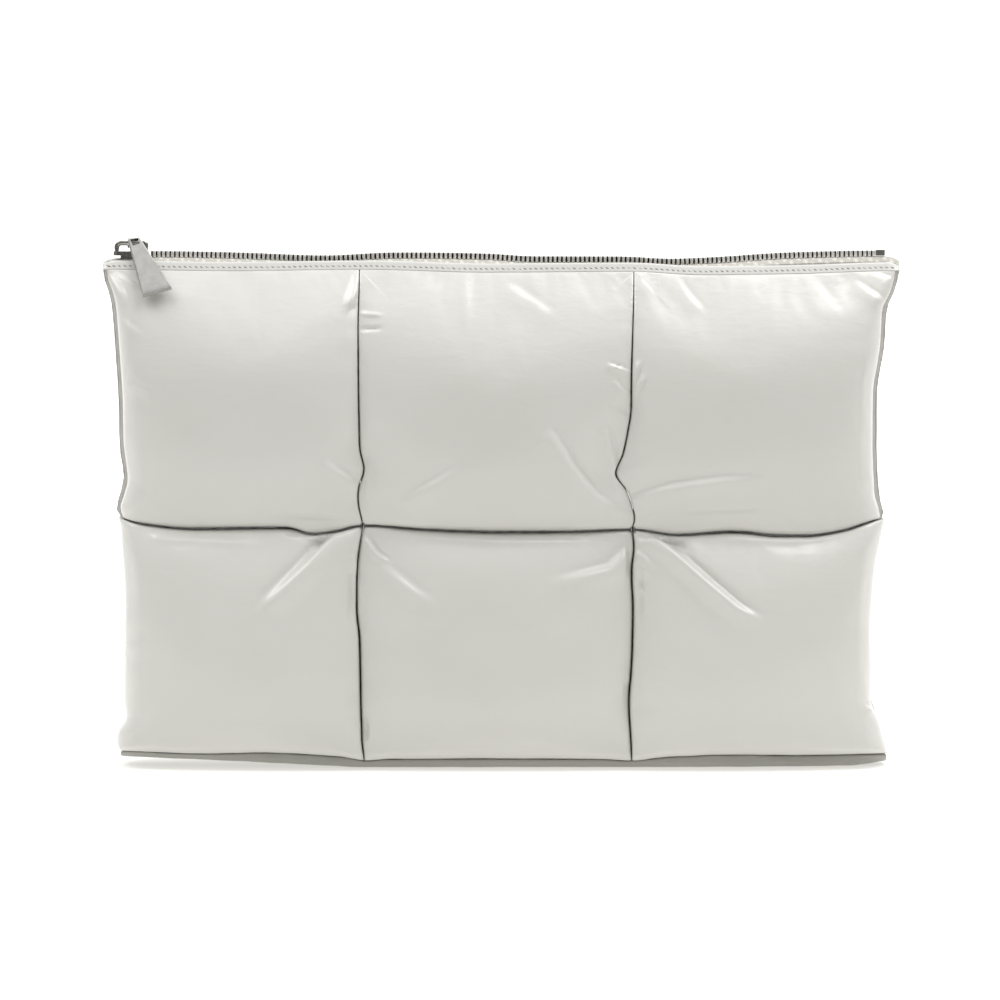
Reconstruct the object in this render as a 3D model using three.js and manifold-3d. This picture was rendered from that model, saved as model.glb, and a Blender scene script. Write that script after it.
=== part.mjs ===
// A padded leather zip pouch that stands on its bottom fold.
// Millimetres, +Z up, the front faces -Y, and the zip runs along X.
import * as THREE from "three";
import { mergeVertices } from "three/addons/utils/BufferGeometryUtils.js";
import Module from "manifold-3d";

const wasm = await Module();
wasm.setup();

// Driving sizes of the pouch
const pouchWidth = 351; // over the zip's two ends
const pouchHeight = 225; // from the floor to the middle of the closed zip teeth
const seamGap = 0.3; // between two pieces that are sewn or laid against each other
const middleSeamGap = 0.8; // the deeper seam between the upper and the lower squares
const rimThickness = 3.6; // a padded wall where it is sewn flat at a seam
const pocketHalfDepth = 6.5; // the empty pocket, from its middle plane to one wall
const footHalfDepth = 14; // the same at the bottom fold, where the pouch is widest
const sideHalfDepth = 2; // the same at the two sides, where the walls are sewn together
const mouthHalfDepth = 5.4; // the same under the zip
const mouthEndHalfDepth = 4.2; // and at the zip's two ends
const crownDepth = 20; // how far a padded square swells out of its seams
const backCrownDepth = 19;
const cornerRound = 4; // the power that closes the pocket towards its sides

// Driving sizes of the sewn edges
const sideSeamReach = 5; // how far the seam runs in between the two walls
const sideSeamProud = 2; // how far it stands out beside the upper squares
const sideSeamSunk = 1.5; // how far it lies behind the edge of the lower squares
const foldThickness = 1.8; // the leather of the bottom fold
const foldRound = 2.4; // the rounded edge along the bottom fold
const bindingThickness = 2.2; // the folded leather edge that holds the zip tape
const bindingHeight = 3.6;
const tapeThickness = 0.9; // the woven zip tape
const tapeDip = 2.4; // how far the tape slopes down from the teeth to the leather

// Driving sizes of the zip
const toothPitch = 2;
const toothDepth = 0.9; // of the notch between two teeth, seen from the front
const chainHalfWidth = 2.6;
const chainAbove = 1.1; // the tips of the teeth over the middle of the chain
const chainBelow = 0.8; // the feet of the teeth under it
const stopLength = 4;
const stopHeight = 3.2;
const sliderLength = 15.4;
const sliderHalfWidth = 4.1;
const sliderHeelHalfWidth = 3.3;
const sliderLowerHalfWidth = 3.4;
const wingThickness = 1.8;
const lowerWingThickness = 1.4;
const postHalfWidth = 2;
const bridgeWireRadius = 0.85;
const bridgeCorner = 2.2; // the radius at each end of the bridge
const bridgeRise = 1.4; // the room between the slider's back and the eye of the pull tab
const bridgeInset = 1.3; // from the slider's end to the middle of the wire

// Driving sizes of the pull tab
const tabLength = 32; // from the middle of its eye to its foot
const tabNeckWidth = 5.6;
const tabFootWidth = 13.2;
const tabThickness = 1.9;
const tabEdgeBevel = 0.7;
const tabFootBevel = 2.4;
const tabTilt = 20.5; // degrees that the tab leans to the right, in its own plane
const tabRestGap = 0.6; // between the tab and the padding that it lies against
const eyeClearance = 0.4; // between the bridge's wire and the eye
const eyeWall = 0.95;
const eyeWindowLength = 4.6;
const eyeSideBar = 1.1; // the metal left on each side of the window
const eyeInset = 0.5; // from the inside of the bridge's right corner to the eye

// Colours and finishes read from the photograph
const leather = { color: 0xdad9d3, roughness: 0.32, metalness: 0 };
const edgeLeather = { color: 0xc9c8c1, roughness: 0.45, metalness: 0 };
const wovenTape = { color: 0xe4e2dd, roughness: 0.85, metalness: 0 };
const nickel = { color: 0xc3c2bd, roughness: 0.2, metalness: 1 };

// The lines that bound the squares. "up" is a share of pouchHeight from the floor, and
// "across" a share of pouchWidth from the left end.
const leftEdge = [
  { up: 0.029, across: 0.024 },
  { up: 0.053, across: 0.0188 },
  { up: 0.076, across: 0.0227 },
  { up: 0.092, across: 0.0312 },
  { up: 0.127, across: 0.0292 },
  { up: 0.334, across: 0.0296 },
  { up: 0.44, across: 0.0256 },
  { up: 0.477, across: 0.0245 },
  { up: 0.5, across: 0.0187 },
  { up: 0.537, across: 0.0246 },
  { up: 0.565, across: 0.0283 },
  { up: 0.623, across: 0.0233 },
  { up: 0.713, across: 0.0221 },
  { up: 0.81, across: 0.0183 },
  { up: 0.908, across: 0.0133 },
  { up: 0.967, across: 0.0033 },
];
const leftSeam = [
  { up: 0.012, across: 0.3305 },
  { up: 0.06, across: 0.3275 },
  { up: 0.145, across: 0.326 },
  { up: 0.254, across: 0.3246 },
  { up: 0.313, across: 0.3211 },
  { up: 0.387, across: 0.3215 },
  { up: 0.447, across: 0.3261 },
  { up: 0.474, across: 0.3292 },
  { up: 0.514, across: 0.323 },
  { up: 0.547, across: 0.3236 },
  { up: 0.585, across: 0.3305 },
  { up: 0.609, across: 0.326 },
  { up: 0.674, across: 0.3242 },
  { up: 0.865, across: 0.323 },
  { up: 0.967, across: 0.3242 },
];
const rightSeam = [
  { up: 0.013, across: 0.6635 },
  { up: 0.137, across: 0.6602 },
  { up: 0.207, across: 0.6635 },
  { up: 0.316, across: 0.6652 },
  { up: 0.381, across: 0.6635 },
  { up: 0.436, across: 0.6665 },
  { up: 0.467, across: 0.664 },
  { up: 0.488, across: 0.6671 },
  { up: 0.522, across: 0.662 },
  { up: 0.553, across: 0.6539 },
  { up: 0.581, across: 0.6422 },
  { up: 0.602, across: 0.6502 },
  { up: 0.643, across: 0.6564 },
  { up: 0.691, across: 0.6621 },
  { up: 0.785, across: 0.6633 },
  { up: 0.967, across: 0.6665 },
];
const rightEdge = [
  { up: 0.023, across: 0.9846 },
  { up: 0.031, across: 0.9858 },
  { up: 0.047, across: 0.9807 },
  { up: 0.078, across: 0.9762 },
  { up: 0.102, across: 0.9712 },
  { up: 0.131, across: 0.9638 },
  { up: 0.254, across: 0.9634 },
  { up: 0.373, across: 0.9678 },
  { up: 0.457, across: 0.9772 },
  { up: 0.486, across: 0.9812 },
  { up: 0.529, across: 0.9745 },
  { up: 0.635, across: 0.9712 },
  { up: 0.728, across: 0.9715 },
  { up: 0.818, across: 0.98 },
  { up: 0.893, across: 0.9831 },
  { up: 0.921, across: 0.9912 },
  { up: 0.973, across: 0.9988 },
];
const footLine = [
  { across: 0.02, up: 0.0293 },
  { across: 0.13, up: 0.0264 },
  { across: 0.2, up: 0.0293 },
  { across: 0.307, up: 0.0215 },
  { across: 0.329, up: 0.0142 },
  { across: 0.36, up: 0.0172 },
  { across: 0.49, up: 0.0182 },
  { across: 0.625, up: 0.0172 },
  { across: 0.664, up: 0.0142 },
  { across: 0.704, up: 0.0209 },
  { across: 0.789, up: 0.0254 },
  { across: 0.88, up: 0.0232 },
  { across: 0.98, up: 0.024 },
];
const middleLine = [
  { across: 0.02, up: 0.488 },
  { across: 0.038, up: 0.481 },
  { across: 0.062, up: 0.474 },
  { across: 0.117, up: 0.4668 },
  { across: 0.233, up: 0.4688 },
  { across: 0.264, up: 0.457 },
  { across: 0.294, up: 0.4619 },
  { across: 0.33, up: 0.4736 },
  { across: 0.407, up: 0.4654 },
  { across: 0.503, up: 0.4604 },
  { across: 0.586, up: 0.4612 },
  { across: 0.664, up: 0.4658 },
  { across: 0.719, up: 0.4551 },
  { across: 0.792, up: 0.461 },
  { across: 0.841, up: 0.4535 },
  { across: 0.882, up: 0.4528 },
  { across: 0.922, up: 0.461 },
  { across: 0.981, up: 0.4844 },
];
const topLine = [
  { across: 0.009, up: 0.9697 },
  { across: 0.164, up: 0.9668 },
  { across: 0.327, up: 0.9697 },
  { across: 0.487, up: 0.9639 },
  { across: 0.664, up: 0.9658 },
  { across: 0.749, up: 0.959 },
  { across: 0.865, up: 0.961 },
  { across: 0.994, up: 0.9668 },
];
const zipLine = [
  { across: 0.002, up: 0.996 },
  { across: 0.063, up: 1.0 },
  { across: 0.164, up: 0.9973 },
  { across: 0.283, up: 0.9912 },
  { across: 0.376, up: 0.9973 },
  { across: 0.487, up: 0.9947 },
  { across: 0.529, up: 0.9898 },
  { across: 0.648, up: 0.9894 },
  { across: 0.708, up: 0.9846 },
  { across: 0.769, up: 0.9879 },
  { across: 0.865, up: 0.9973 },
  { across: 0.975, up: 1.001 },
];
const underside = [
  { across: 0.02, up: 0.0175 },
  { across: 0.09, up: 0.0145 },
  { across: 0.17, up: 0.0105 },
  { across: 0.25, up: 0.005 },
  { across: 0.33, up: 0 },
  { across: 0.945, up: 0 },
  { across: 0.985, up: 0.008 },
];

// How wide the pocket opens at each height: shares of pouchHeight, and the named half depths.
const pocketRows = [
  { up: 0, middle: footHalfDepth, side: sideHalfDepth },
  { up: 0.22, middle: (footHalfDepth + pocketHalfDepth) / 2, side: sideHalfDepth },
  { up: 0.46, middle: pocketHalfDepth, side: sideHalfDepth },
  { up: 0.8, middle: pocketHalfDepth, side: sideHalfDepth },
  { up: 0.965, middle: mouthHalfDepth, side: mouthEndHalfDepth },
];

// The main folds and dents of the front. Places are shares of pouchWidth and pouchHeight,
// "lift" is a share of crownDepth and "spread" a share of the square's side.
const frontFolds = [
  { square: "bottom_left", fromAcross: 0.292, fromUp: 0.445, toAcross: 0.203, toUp: 0.31, lift: 0.17, spread: 0.045 },
  { square: "bottom_left", fromAcross: 0.3, fromUp: 0.457, toAcross: 0.262, toUp: 0.43, lift: -0.16, spread: 0.045 },
  { square: "bottom_middle", fromAcross: 0.66, fromUp: 0.42, toAcross: 0.574, toUp: 0.363, lift: 0.1, spread: 0.05 },
  { square: "bottom_middle", fromAcross: 0.401, fromUp: 0.445, toAcross: 0.599, toUp: 0.432, lift: 0.1, spread: 0.05 },
  { square: "bottom_middle", fromAcross: 0.357, fromUp: 0.379, toAcross: 0.41, toUp: 0.318, lift: 0.08, spread: 0.05 },
  { square: "bottom_right", fromAcross: 0.714, fromUp: 0.433, toAcross: 0.794, toUp: 0.297, lift: 0.18, spread: 0.045 },
  { square: "bottom_right", fromAcross: 0.68, fromUp: 0.445, toAcross: 0.735, toUp: 0.432, lift: -0.16, spread: 0.045 },
  { square: "top_left", fromAcross: 0.29, fromUp: 0.525, toAcross: 0.324, toUp: 0.576, lift: 0.08, spread: 0.05 },
  { square: "top_middle", fromAcross: 0.574, fromUp: 0.602, toAcross: 0.619, toUp: 0.498, lift: 0.12, spread: 0.05 },
  { square: "top_middle", fromAcross: 0.392, fromUp: 0.525, toAcross: 0.45, toUp: 0.574, lift: 0.07, spread: 0.05 },
  { square: "top_right", fromAcross: 0.688, fromUp: 0.531, toAcross: 0.774, toUp: 0.551, lift: 0.08, spread: 0.05 },
  { square: "top_right", fromAcross: 0.953, fromUp: 0.926, toAcross: 0.982, toUp: 0.897, lift: 0.08, spread: 0.05 },
];

// The places of the squares in their rows and columns
const columns = ["left", "middle", "right"];
const uprights = [leftEdge, leftSeam, rightSeam, rightEdge];
const rows = [
  { name: "bottom", below: footLine, above: middleLine },
  { name: "top", below: middleLine, above: topLine },
];
const frontSteps = 15; // facets across a front square
const backSteps = 10;
const stripSteps = 44; // facets along the zip tape, its leather edge and the bottom fold
const puffPower = 0.46; // how steeply the padding rises beside a seam
const sidePull = 8; // keeps a square's inset beside its own side
const degree = Math.PI / 180;

// A smooth line through a table's rows: monotone between two rows, level past the ends.
function tableLine(table, key, value) {
  const slope = (i) => (table[i + 1][value] - table[i][value]) / (table[i + 1][key] - table[i][key]);
  const tangent = (i) => {
    if (i === 0 || i === table.length - 1) return 0;
    const before = slope(i - 1);
    const after = slope(i);
    return before * after <= 0 ? 0 : (2 * before * after) / (before + after);
  };
  return (at) => {
    const last = table.length - 1;
    if (at <= table[0][key]) return table[0][value];
    if (at >= table[last][key]) return table[last][value];
    const i = table.findIndex((row, n) => at < table[n + 1][key]);
    const span = table[i + 1][key] - table[i][key];
    const s = (at - table[i][key]) / span;
    const rise = s * s * (3 - 2 * s);
    const leave = s * (1 - s) * (1 - s) * span * tangent(i);
    const arrive = s * s * (s - 1) * span * tangent(i + 1);
    return table[i][value] * (1 - rise) + table[i + 1][value] * rise + leave + arrive;
  };
}

const xAt = (across) => (across - 0.5) * pouchWidth;
const acrossAt = (x) => x / pouchWidth + 0.5;
const upAt = (z) => z / pouchHeight;
const zOn = (line) => {
  const read = tableLine(line, "across", "up");
  return (x) => read(acrossAt(x)) * pouchHeight;
};
const xOn = (line) => {
  const read = tableLine(line, "up", "across");
  return (z) => xAt(read(upAt(z)));
};
const zipHeight = zOn(zipLine);
const panelTop = zOn(topLine);
const panelFoot = zOn(footLine);

// Half the pocket's opening at a place, and the outside of the flat seams there
const pocketMiddle = tableLine(pocketRows, "up", "middle");
const pocketSide = tableLine(pocketRows, "up", "side");
function innerDepth(x, z) {
  const side = pocketSide(upAt(z));
  const closing = Math.min(1, Math.abs(2 * acrossAt(x) - 1)) ** cornerRound;
  return side + (pocketMiddle(upAt(z)) - side) * (1 - closing);
}
const rimDepth = (x, z) => innerDepth(x, z) + rimThickness;

// A closed body from points and faces, with its faces turned outwards
function closedBody(points, faces) {
  const flat = faces.flat();
  let volume = 0;
  for (const [a, b, c] of faces) {
    volume += points[a].dot(new THREE.Vector3().crossVectors(points[b], points[c]));
  }
  if (volume < 0) flat.reverse();
  const geometry = new THREE.BufferGeometry().setFromPoints(points);
  geometry.setIndex(flat);
  geometry.computeVertexNormals();
  return geometry;
}

// A body lofted through rings of equal count, with flat ends
function loft(rings) {
  const count = rings[0].length;
  const faces = [];
  for (let r = 0; r < rings.length - 1; r++) {
    for (let i = 0; i < count; i++) {
      const a = r * count + i;
      const b = r * count + ((i + 1) % count);
      faces.push([a, b, b + count], [a, b + count, a + count]);
    }
  }
  const end = (rings.length - 1) * count;
  for (const [a, b, c] of ringTriangles(rings[0])) faces.push([c, b, a]);
  for (const [a, b, c] of ringTriangles(rings[rings.length - 1])) faces.push([end + a, end + b, end + c]);
  return closedBody(rings.flat(), faces);
}

// A ring's flat outline cut into triangles, which run the way round that the ring does
function ringTriangles(ring) {
  const size = new THREE.Box3().setFromPoints(ring).getSize(new THREE.Vector3());
  const [first, second] = ["x", "y", "z"].sort((a, b) => size[b] - size[a]);
  const outline = ring.map((p) => new THREE.Vector2(p[first], p[second]));
  const triangles = THREE.ShapeUtils.triangulateShape(outline, []);
  const area = (corners) => THREE.ShapeUtils.area(corners.map((at) => outline[at]));
  const cut = triangles.reduce((sum, corners) => sum + area(corners), 0);
  const whole = THREE.ShapeUtils.area(outline);
  return cut * whole > 0 ? triangles : triangles.map(([a, b, c]) => [c, b, a]);
}

// Joins closed bodies into one, then cuts others away
function solidOf(geometry) {
  const bare = geometry.clone();
  bare.deleteAttribute("normal");
  bare.deleteAttribute("uv");
  const merged = mergeVertices(bare, 1e-4);
  const mesh = new wasm.Mesh({
    numProp: 3,
    vertProperties: new Float32Array(merged.attributes.position.array),
    triVerts: new Uint32Array(merged.index.array),
  });
  return new wasm.Manifold(mesh);
}

function joinAndCut(joined, cut) {
  let body = solidOf(joined[0]);
  for (const piece of joined.slice(1)) body = body.add(solidOf(piece));
  for (const piece of cut) body = body.subtract(solidOf(piece));
  const mesh = body.getMesh();
  const geometry = new THREE.BufferGeometry();
  geometry.setAttribute("position", new THREE.Float32BufferAttribute(mesh.vertProperties, 3));
  geometry.setIndex(Array.from(mesh.triVerts));
  geometry.computeVertexNormals();
  return geometry;
}

function named(name, geometry, finish) {
  const mesh = new THREE.Mesh(geometry, new THREE.MeshStandardMaterial(finish));
  mesh.name = name;
  return mesh;
}

// Where an upright line meets a level one
function crossing(upright, level) {
  const x = xOn(upright);
  const z = zOn(level);
  let height = z(x(0.5 * pouchHeight));
  for (let turn = 0; turn < 4; turn++) height = z(x(height));
  return new THREE.Vector2(x(height), height);
}

// The map from a unit square to one padded square of the pouch, as a patch between its four sides
function squarePatch(column, row) {
  const { below, above, name } = rows[row];
  const half = seamGap / 2;
  const inset = name === "top" ? sideSeamProud : 0;
  const shiftLeft = column === 0 ? inset : half;
  const shiftRight = column === columns.length - 1 ? inset : half;
  const raise = name === "top" ? middleSeamGap / 2 : 0;
  const lower = name === "top" ? 0 : middleSeamGap / 2;
  const [left, right] = [uprights[column], uprights[column + 1]];
  const corners = {
    lowLeft: crossing(left, below),
    lowRight: crossing(right, below),
    highLeft: crossing(left, above),
    highRight: crossing(right, above),
  };
  const { lerp } = THREE.MathUtils;
  const levelSide = (line, low, high, shift) => (u) => {
    const pull = shiftLeft * (1 - u) ** sidePull - shiftRight * u ** sidePull;
    const x = lerp(low.x, high.x, u) + pull;
    return new THREE.Vector2(x, zOn(line)(x) + shift);
  };
  const foot = levelSide(below, corners.lowLeft, corners.lowRight, raise);
  const head = levelSide(above, corners.highLeft, corners.highRight, -lower);
  const uprightSide = (line, low, high, shift) => (v) => {
    const z = lerp(low.y, high.y, v);
    return new THREE.Vector2(xOn(line)(z) + shift, z);
  };
  const leftSide = uprightSide(left, foot(0), head(0), shiftLeft);
  const rightSide = uprightSide(right, foot(1), head(1), -shiftRight);
  return (u, v) => {
    const upright = leftSide(v).multiplyScalar(1 - u).addScaledVector(rightSide(v), u);
    const level = foot(u).multiplyScalar(1 - v).addScaledVector(head(u), v);
    const straight = foot(0).multiplyScalar((1 - u) * (1 - v)).addScaledVector(foot(1), u * (1 - v));
    straight.addScaledVector(head(0), (1 - u) * v).addScaledVector(head(1), u * v);
    return upright.add(level).sub(straight);
  };
}

// The swell of the padding over a square, and what its folds add there
const puff = (u, v) => (16 * u * (1 - u) * v * (1 - v)) ** puffPower;

function foldLift(square, x, z) {
  let lift = 0;
  for (const fold of frontFolds.filter((row) => row.square === square)) {
    const start = new THREE.Vector2(xAt(fold.fromAcross), fold.fromUp * pouchHeight);
    const end = new THREE.Vector2(xAt(fold.toAcross), fold.toUp * pouchHeight);
    const run = end.clone().sub(start);
    const place = new THREE.Vector2(x, z).sub(start);
    const share = THREE.MathUtils.clamp(place.dot(run) / run.lengthSq(), 0, 1);
    const away = place.sub(run.multiplyScalar(share)).length();
    const width = (fold.spread * pouchWidth) / columns.length;
    lift += fold.lift * crownDepth * Math.exp(-((away / width) ** 2));
  }
  return lift;
}

// How far forward the face of a front square lies
function frontDepth(square, patch, u, v) {
  const place = patch(u, v);
  const swell = puff(u, v);
  const edge = Math.min(1, swell * 2);
  return rimDepth(place.x, place.y) + crownDepth * swell + foldLift(square, place.x, place.y) * edge;
}

function backDepth(square, patch, u, v) {
  const place = patch(u, v);
  return rimDepth(place.x, place.y) + backCrownDepth * puff(u, v);
}

// Grid lines lie closer together beside the seams
const gridPlace = (i, steps) => 0.5 * (i / steps) + 0.25 * (1 - Math.cos((Math.PI * i) / steps));

// One padded square: a swollen face, a sewn rim all round and a plain inner face
function paddedSquare(square, patch, depthAt, steps, side) {
  const points = [];
  const faces = [];
  const row = steps + 1;
  for (let j = 0; j <= steps; j++) {
    for (let i = 0; i <= steps; i++) {
      const [u, v] = [gridPlace(i, steps), gridPlace(j, steps)];
      const place = patch(u, v);
      points.push(new THREE.Vector3(place.x, side * depthAt(square, patch, u, v), place.y));
      if (i < steps && j < steps) {
        const a = j * row + i;
        faces.push([a, a + 1, a + row + 1], [a, a + row + 1, a + row]);
      }
    }
  }
  const border = [];
  for (let i = 0; i < steps; i++) border.push(i);
  for (let j = 0; j < steps; j++) border.push(j * row + steps);
  for (let i = steps; i > 0; i--) border.push(steps * row + i);
  for (let j = steps; j > 0; j--) border.push(j * row);
  const first = points.length;
  const count = border.length;
  for (const at of border) {
    const { x, z } = points[at];
    points.push(new THREE.Vector3(x, side * innerDepth(x, z), z));
  }
  border.forEach((at, n) => {
    const next = (n + 1) % count;
    faces.push([border[next], at, first + n], [border[next], first + n, first + next]);
  });
  const innerFace = ringTriangles(points.slice(first));
  faces.push(...innerFace.map(([a, b, c]) => [first + c, first + b, first + a]));
  return closedBody(points, faces);
}

function buildSquares() {
  const group = new THREE.Group();
  rows.forEach(({ name: rowName }, row) => {
    columns.forEach((columnName, column) => {
      const square = rowName + "_" + columnName;
      const patch = squarePatch(column, row);
      const front = paddedSquare(square, patch, frontDepth, frontSteps, -1);
      const back = paddedSquare(square, patch, backDepth, backSteps, 1);
      group.add(named("front_panel_" + square, front, leather));
      group.add(named("back_panel_" + square, back, leather));
    });
  });
  return group;
}

// A strip swept along X: each section is a ring of depths and heights at its place
function sweptStrip(fromX, toX, steps, sectionAt) {
  const rings = [];
  for (let i = 0; i <= steps; i++) {
    const x = THREE.MathUtils.lerp(fromX, toX, i / steps);
    rings.push(sectionAt(x).map(([y, z]) => new THREE.Vector3(x, y, z)));
  }
  return loft(rings);
}

// The bottom fold joins the two padded walls under the pouch and is what it stands on
function buildBottomFold() {
  const floor = zOn(underside);
  const section = (x) => {
    const head = panelFoot(x) - seamGap;
    const foot = Math.min(floor(x), head - foldThickness);
    const outer = rimDepth(x, head);
    const round = Math.min(foldRound, (head - foot) * 0.8, outer / 2);
    const inner = outer - foldThickness;
    const bed = Math.min(foot + foldThickness, head - foldThickness / 10);
    return [
      [-outer, head],
      [-outer, foot + round],
      [-outer + round, foot],
      [outer - round, foot],
      [outer, foot + round],
      [outer, head],
      [inner, head],
      [inner - round / 2, bed],
      [-inner + round / 2, bed],
      [-inner, head],
    ];
  };
  const left = crossing(leftEdge, footLine).x;
  const right = crossing(rightEdge, footLine).x;
  return named("bottom_fold", sweptStrip(left, right, stripSteps, section), leather);
}

// The side seams press the front and the back wall together, and fill what the walls leave there
function buildSideSeam(name, line, outwards) {
  const foot = crossing(line, footLine).y;
  const head = crossing(line, topLine).y;
  const middle = crossing(line, middleLine).y;
  const ease = sideSeamReach; // the height over which the seam comes out from behind the squares
  const rings = [];
  for (let i = 0; i <= stripSteps; i++) {
    const z = THREE.MathUtils.lerp(foot, head, i / stripSteps);
    const out = THREE.MathUtils.smoothstep(z, middle - ease, middle + ease);
    const edge = xOn(line)(z) - outwards * sideSeamSunk * (1 - out);
    const inside = edge - outwards * sideSeamReach;
    const half = innerDepth(xOn(line)(z) - outwards * sideSeamProud * out, z) - seamGap;
    rings.push([
      new THREE.Vector3(edge, -half, z),
      new THREE.Vector3(edge, half, z),
      new THREE.Vector3(inside, half, z),
      new THREE.Vector3(inside, -half, z),
    ]);
  }
  return named(name, loft(rings), edgeLeather);
}

// The leather edge along the top of a wall, folded over the zip tape
function bindingInner(x) {
  return rimDepth(x, panelTop(x)) - bindingThickness;
}

function buildBinding(name, side) {
  const section = (x) => {
    const low = panelTop(x) + seamGap;
    const high = low + bindingHeight;
    const inner = bindingInner(x);
    const outer = inner + bindingThickness;
    const shoulder = bindingThickness / 4;
    return [
      [side * outer, low],
      [side * outer, high - shoulder],
      [side * (outer - shoulder), high],
      [side * (inner + shoulder), high],
      [side * inner, high - shoulder],
      [side * inner, low],
    ];
  };
  const left = crossing(leftEdge, topLine).x;
  const right = crossing(rightEdge, topLine).x;
  return named(name, sweptStrip(left, right, stripSteps, section), leather);
}

// The woven tape slopes from the teeth down to the leather edge
function buildTape(name, side) {
  const section = (x) => {
    const near = chainHalfWidth + seamGap;
    const far = Math.max(bindingInner(x) - seamGap, near + tapeThickness);
    const high = zipHeight(x) - chainBelow - tapeThickness / 2;
    const low = high - tapeDip;
    return [
      [side * near, high],
      [side * far, low],
      [side * far, low - tapeThickness],
      [side * near, high - tapeThickness],
    ];
  };
  const left = crossing(leftEdge, topLine).x;
  const right = crossing(rightEdge, topLine).x;
  return named(name, sweptStrip(left, right, stripSteps, section), wovenTape);
}

// Places along the zip
const zipLeft = xAt(zipLine[0].across);
const zipRight = xAt(zipLine[zipLine.length - 1].across);
const sliderLeft = zipLeft + bridgeWireRadius * 6;
const sliderRight = sliderLeft + sliderLength;
const sliderHeight = zipHeight((sliderLeft + sliderRight) / 2);

// The closed teeth, as one interlocked chain with a notch between each tooth and the next
function buildChain() {
  const start = sliderRight + seamGap;
  const end = zipRight - stopLength / 2 - seamGap;
  const count = Math.floor((end - start) / toothPitch);
  const shape = new THREE.Shape();
  shape.moveTo(start, zipHeight(start) - chainBelow);
  const tip = (x, drop) => shape.lineTo(x, zipHeight(x) + chainAbove - drop);
  for (let i = 0; i <= count; i++) {
    const x = start + i * toothPitch;
    tip(x, 0);
    if (i < count) tip(x + toothPitch / 2, toothDepth);
  }
  for (let i = stripSteps; i > 0; i--) {
    const x = THREE.MathUtils.lerp(start, start + count * toothPitch, i / stripSteps);
    shape.lineTo(x, zipHeight(x) - chainBelow);
  }
  const chain = new THREE.ExtrudeGeometry(shape, { depth: 2 * chainHalfWidth, bevelEnabled: false, curveSegments: 1 });
  chain.rotateX(Math.PI / 2);
  chain.translate(0, chainHalfWidth, 0);
  return named("zip_chain", solidGeometry(chain), nickel);
}

// The same body with its shared corners merged
function solidGeometry(geometry) {
  return joinAndCut([geometry], []);
}

function block(fromX, toX, halfWidth, fromZ, toZ) {
  const box = new THREE.BoxGeometry(toX - fromX, 2 * halfWidth, toZ - fromZ);
  box.translate((fromX + toX) / 2, 0, (fromZ + toZ) / 2);
  return box;
}

// The metal stop that ends the zip on the right
function buildStop() {
  const from = zipRight - stopLength / 2;
  const middle = zipHeight(zipRight);
  const body = block(from, from + stopLength, chainHalfWidth, middle - stopHeight / 2 + 0.4, middle + stopHeight / 2);
  return named("zip_end_stop", body, nickel);
}

// The slider: two wings joined by a post, and a bridge of bent wire for the pull tab
const eyeInnerRadius = bridgeWireRadius + eyeClearance;
const eyeOuterRadius = eyeInnerRadius + eyeWall;
const wingTop = sliderHeight + wingThickness - tapeThickness / 2;
const barHeight = wingTop + bridgeRise + eyeOuterRadius;
const bridgeLeft = sliderLeft + bridgeInset;
const bridgeRight = sliderRight - bridgeInset;

function wing(halfWidth, heelHalfWidth, low, thickness) {
  const nose = (sliderRight - sliderLeft) / 5;
  const outline = new THREE.Shape();
  outline.moveTo(sliderLeft, -halfWidth * 0.6);
  outline.lineTo(sliderLeft + nose / 2, -halfWidth);
  outline.lineTo(sliderLeft + 2 * nose, -halfWidth);
  outline.lineTo(sliderRight, -heelHalfWidth);
  outline.lineTo(sliderRight, heelHalfWidth);
  outline.lineTo(sliderLeft + 2 * nose, halfWidth);
  outline.lineTo(sliderLeft + nose / 2, halfWidth);
  outline.lineTo(sliderLeft, halfWidth * 0.6);
  outline.closePath();
  const plate = new THREE.ExtrudeGeometry(outline, { depth: thickness, bevelEnabled: false });
  plate.translate(0, 0, low);
  return plate;
}

function bridgeWire() {
  const foot = wingTop - wingThickness / 2;
  const point = (x, z) => new THREE.Vector3(x, 0, z);
  const path = new THREE.CurvePath();
  path.add(new THREE.LineCurve3(point(bridgeLeft, foot), point(bridgeLeft, barHeight - bridgeCorner)));
  path.add(
    new THREE.QuadraticBezierCurve3(
      point(bridgeLeft, barHeight - bridgeCorner),
      point(bridgeLeft, barHeight),
      point(bridgeLeft + bridgeCorner, barHeight),
    ),
  );
  path.add(new THREE.LineCurve3(point(bridgeLeft + bridgeCorner, barHeight), point(bridgeRight - bridgeCorner / 2, barHeight)));
  path.add(
    new THREE.QuadraticBezierCurve3(
      point(bridgeRight - bridgeCorner / 2, barHeight),
      point(bridgeRight, barHeight),
      point(bridgeRight, barHeight - bridgeCorner / 2),
    ),
  );
  path.add(new THREE.LineCurve3(point(bridgeRight, barHeight - bridgeCorner / 2), point(bridgeRight, foot)));
  const round = new THREE.Shape();
  for (let i = 0; i < 10; i++) {
    const turn = (i / 10) * 2 * Math.PI;
    const [x, y] = [Math.cos(turn) * bridgeWireRadius, Math.sin(turn) * bridgeWireRadius];
    if (i === 0) round.moveTo(x, y);
    else round.lineTo(x, y);
  }
  round.closePath();
  return new THREE.ExtrudeGeometry(round, { steps: 40, extrudePath: path, bevelEnabled: false });
}

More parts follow.
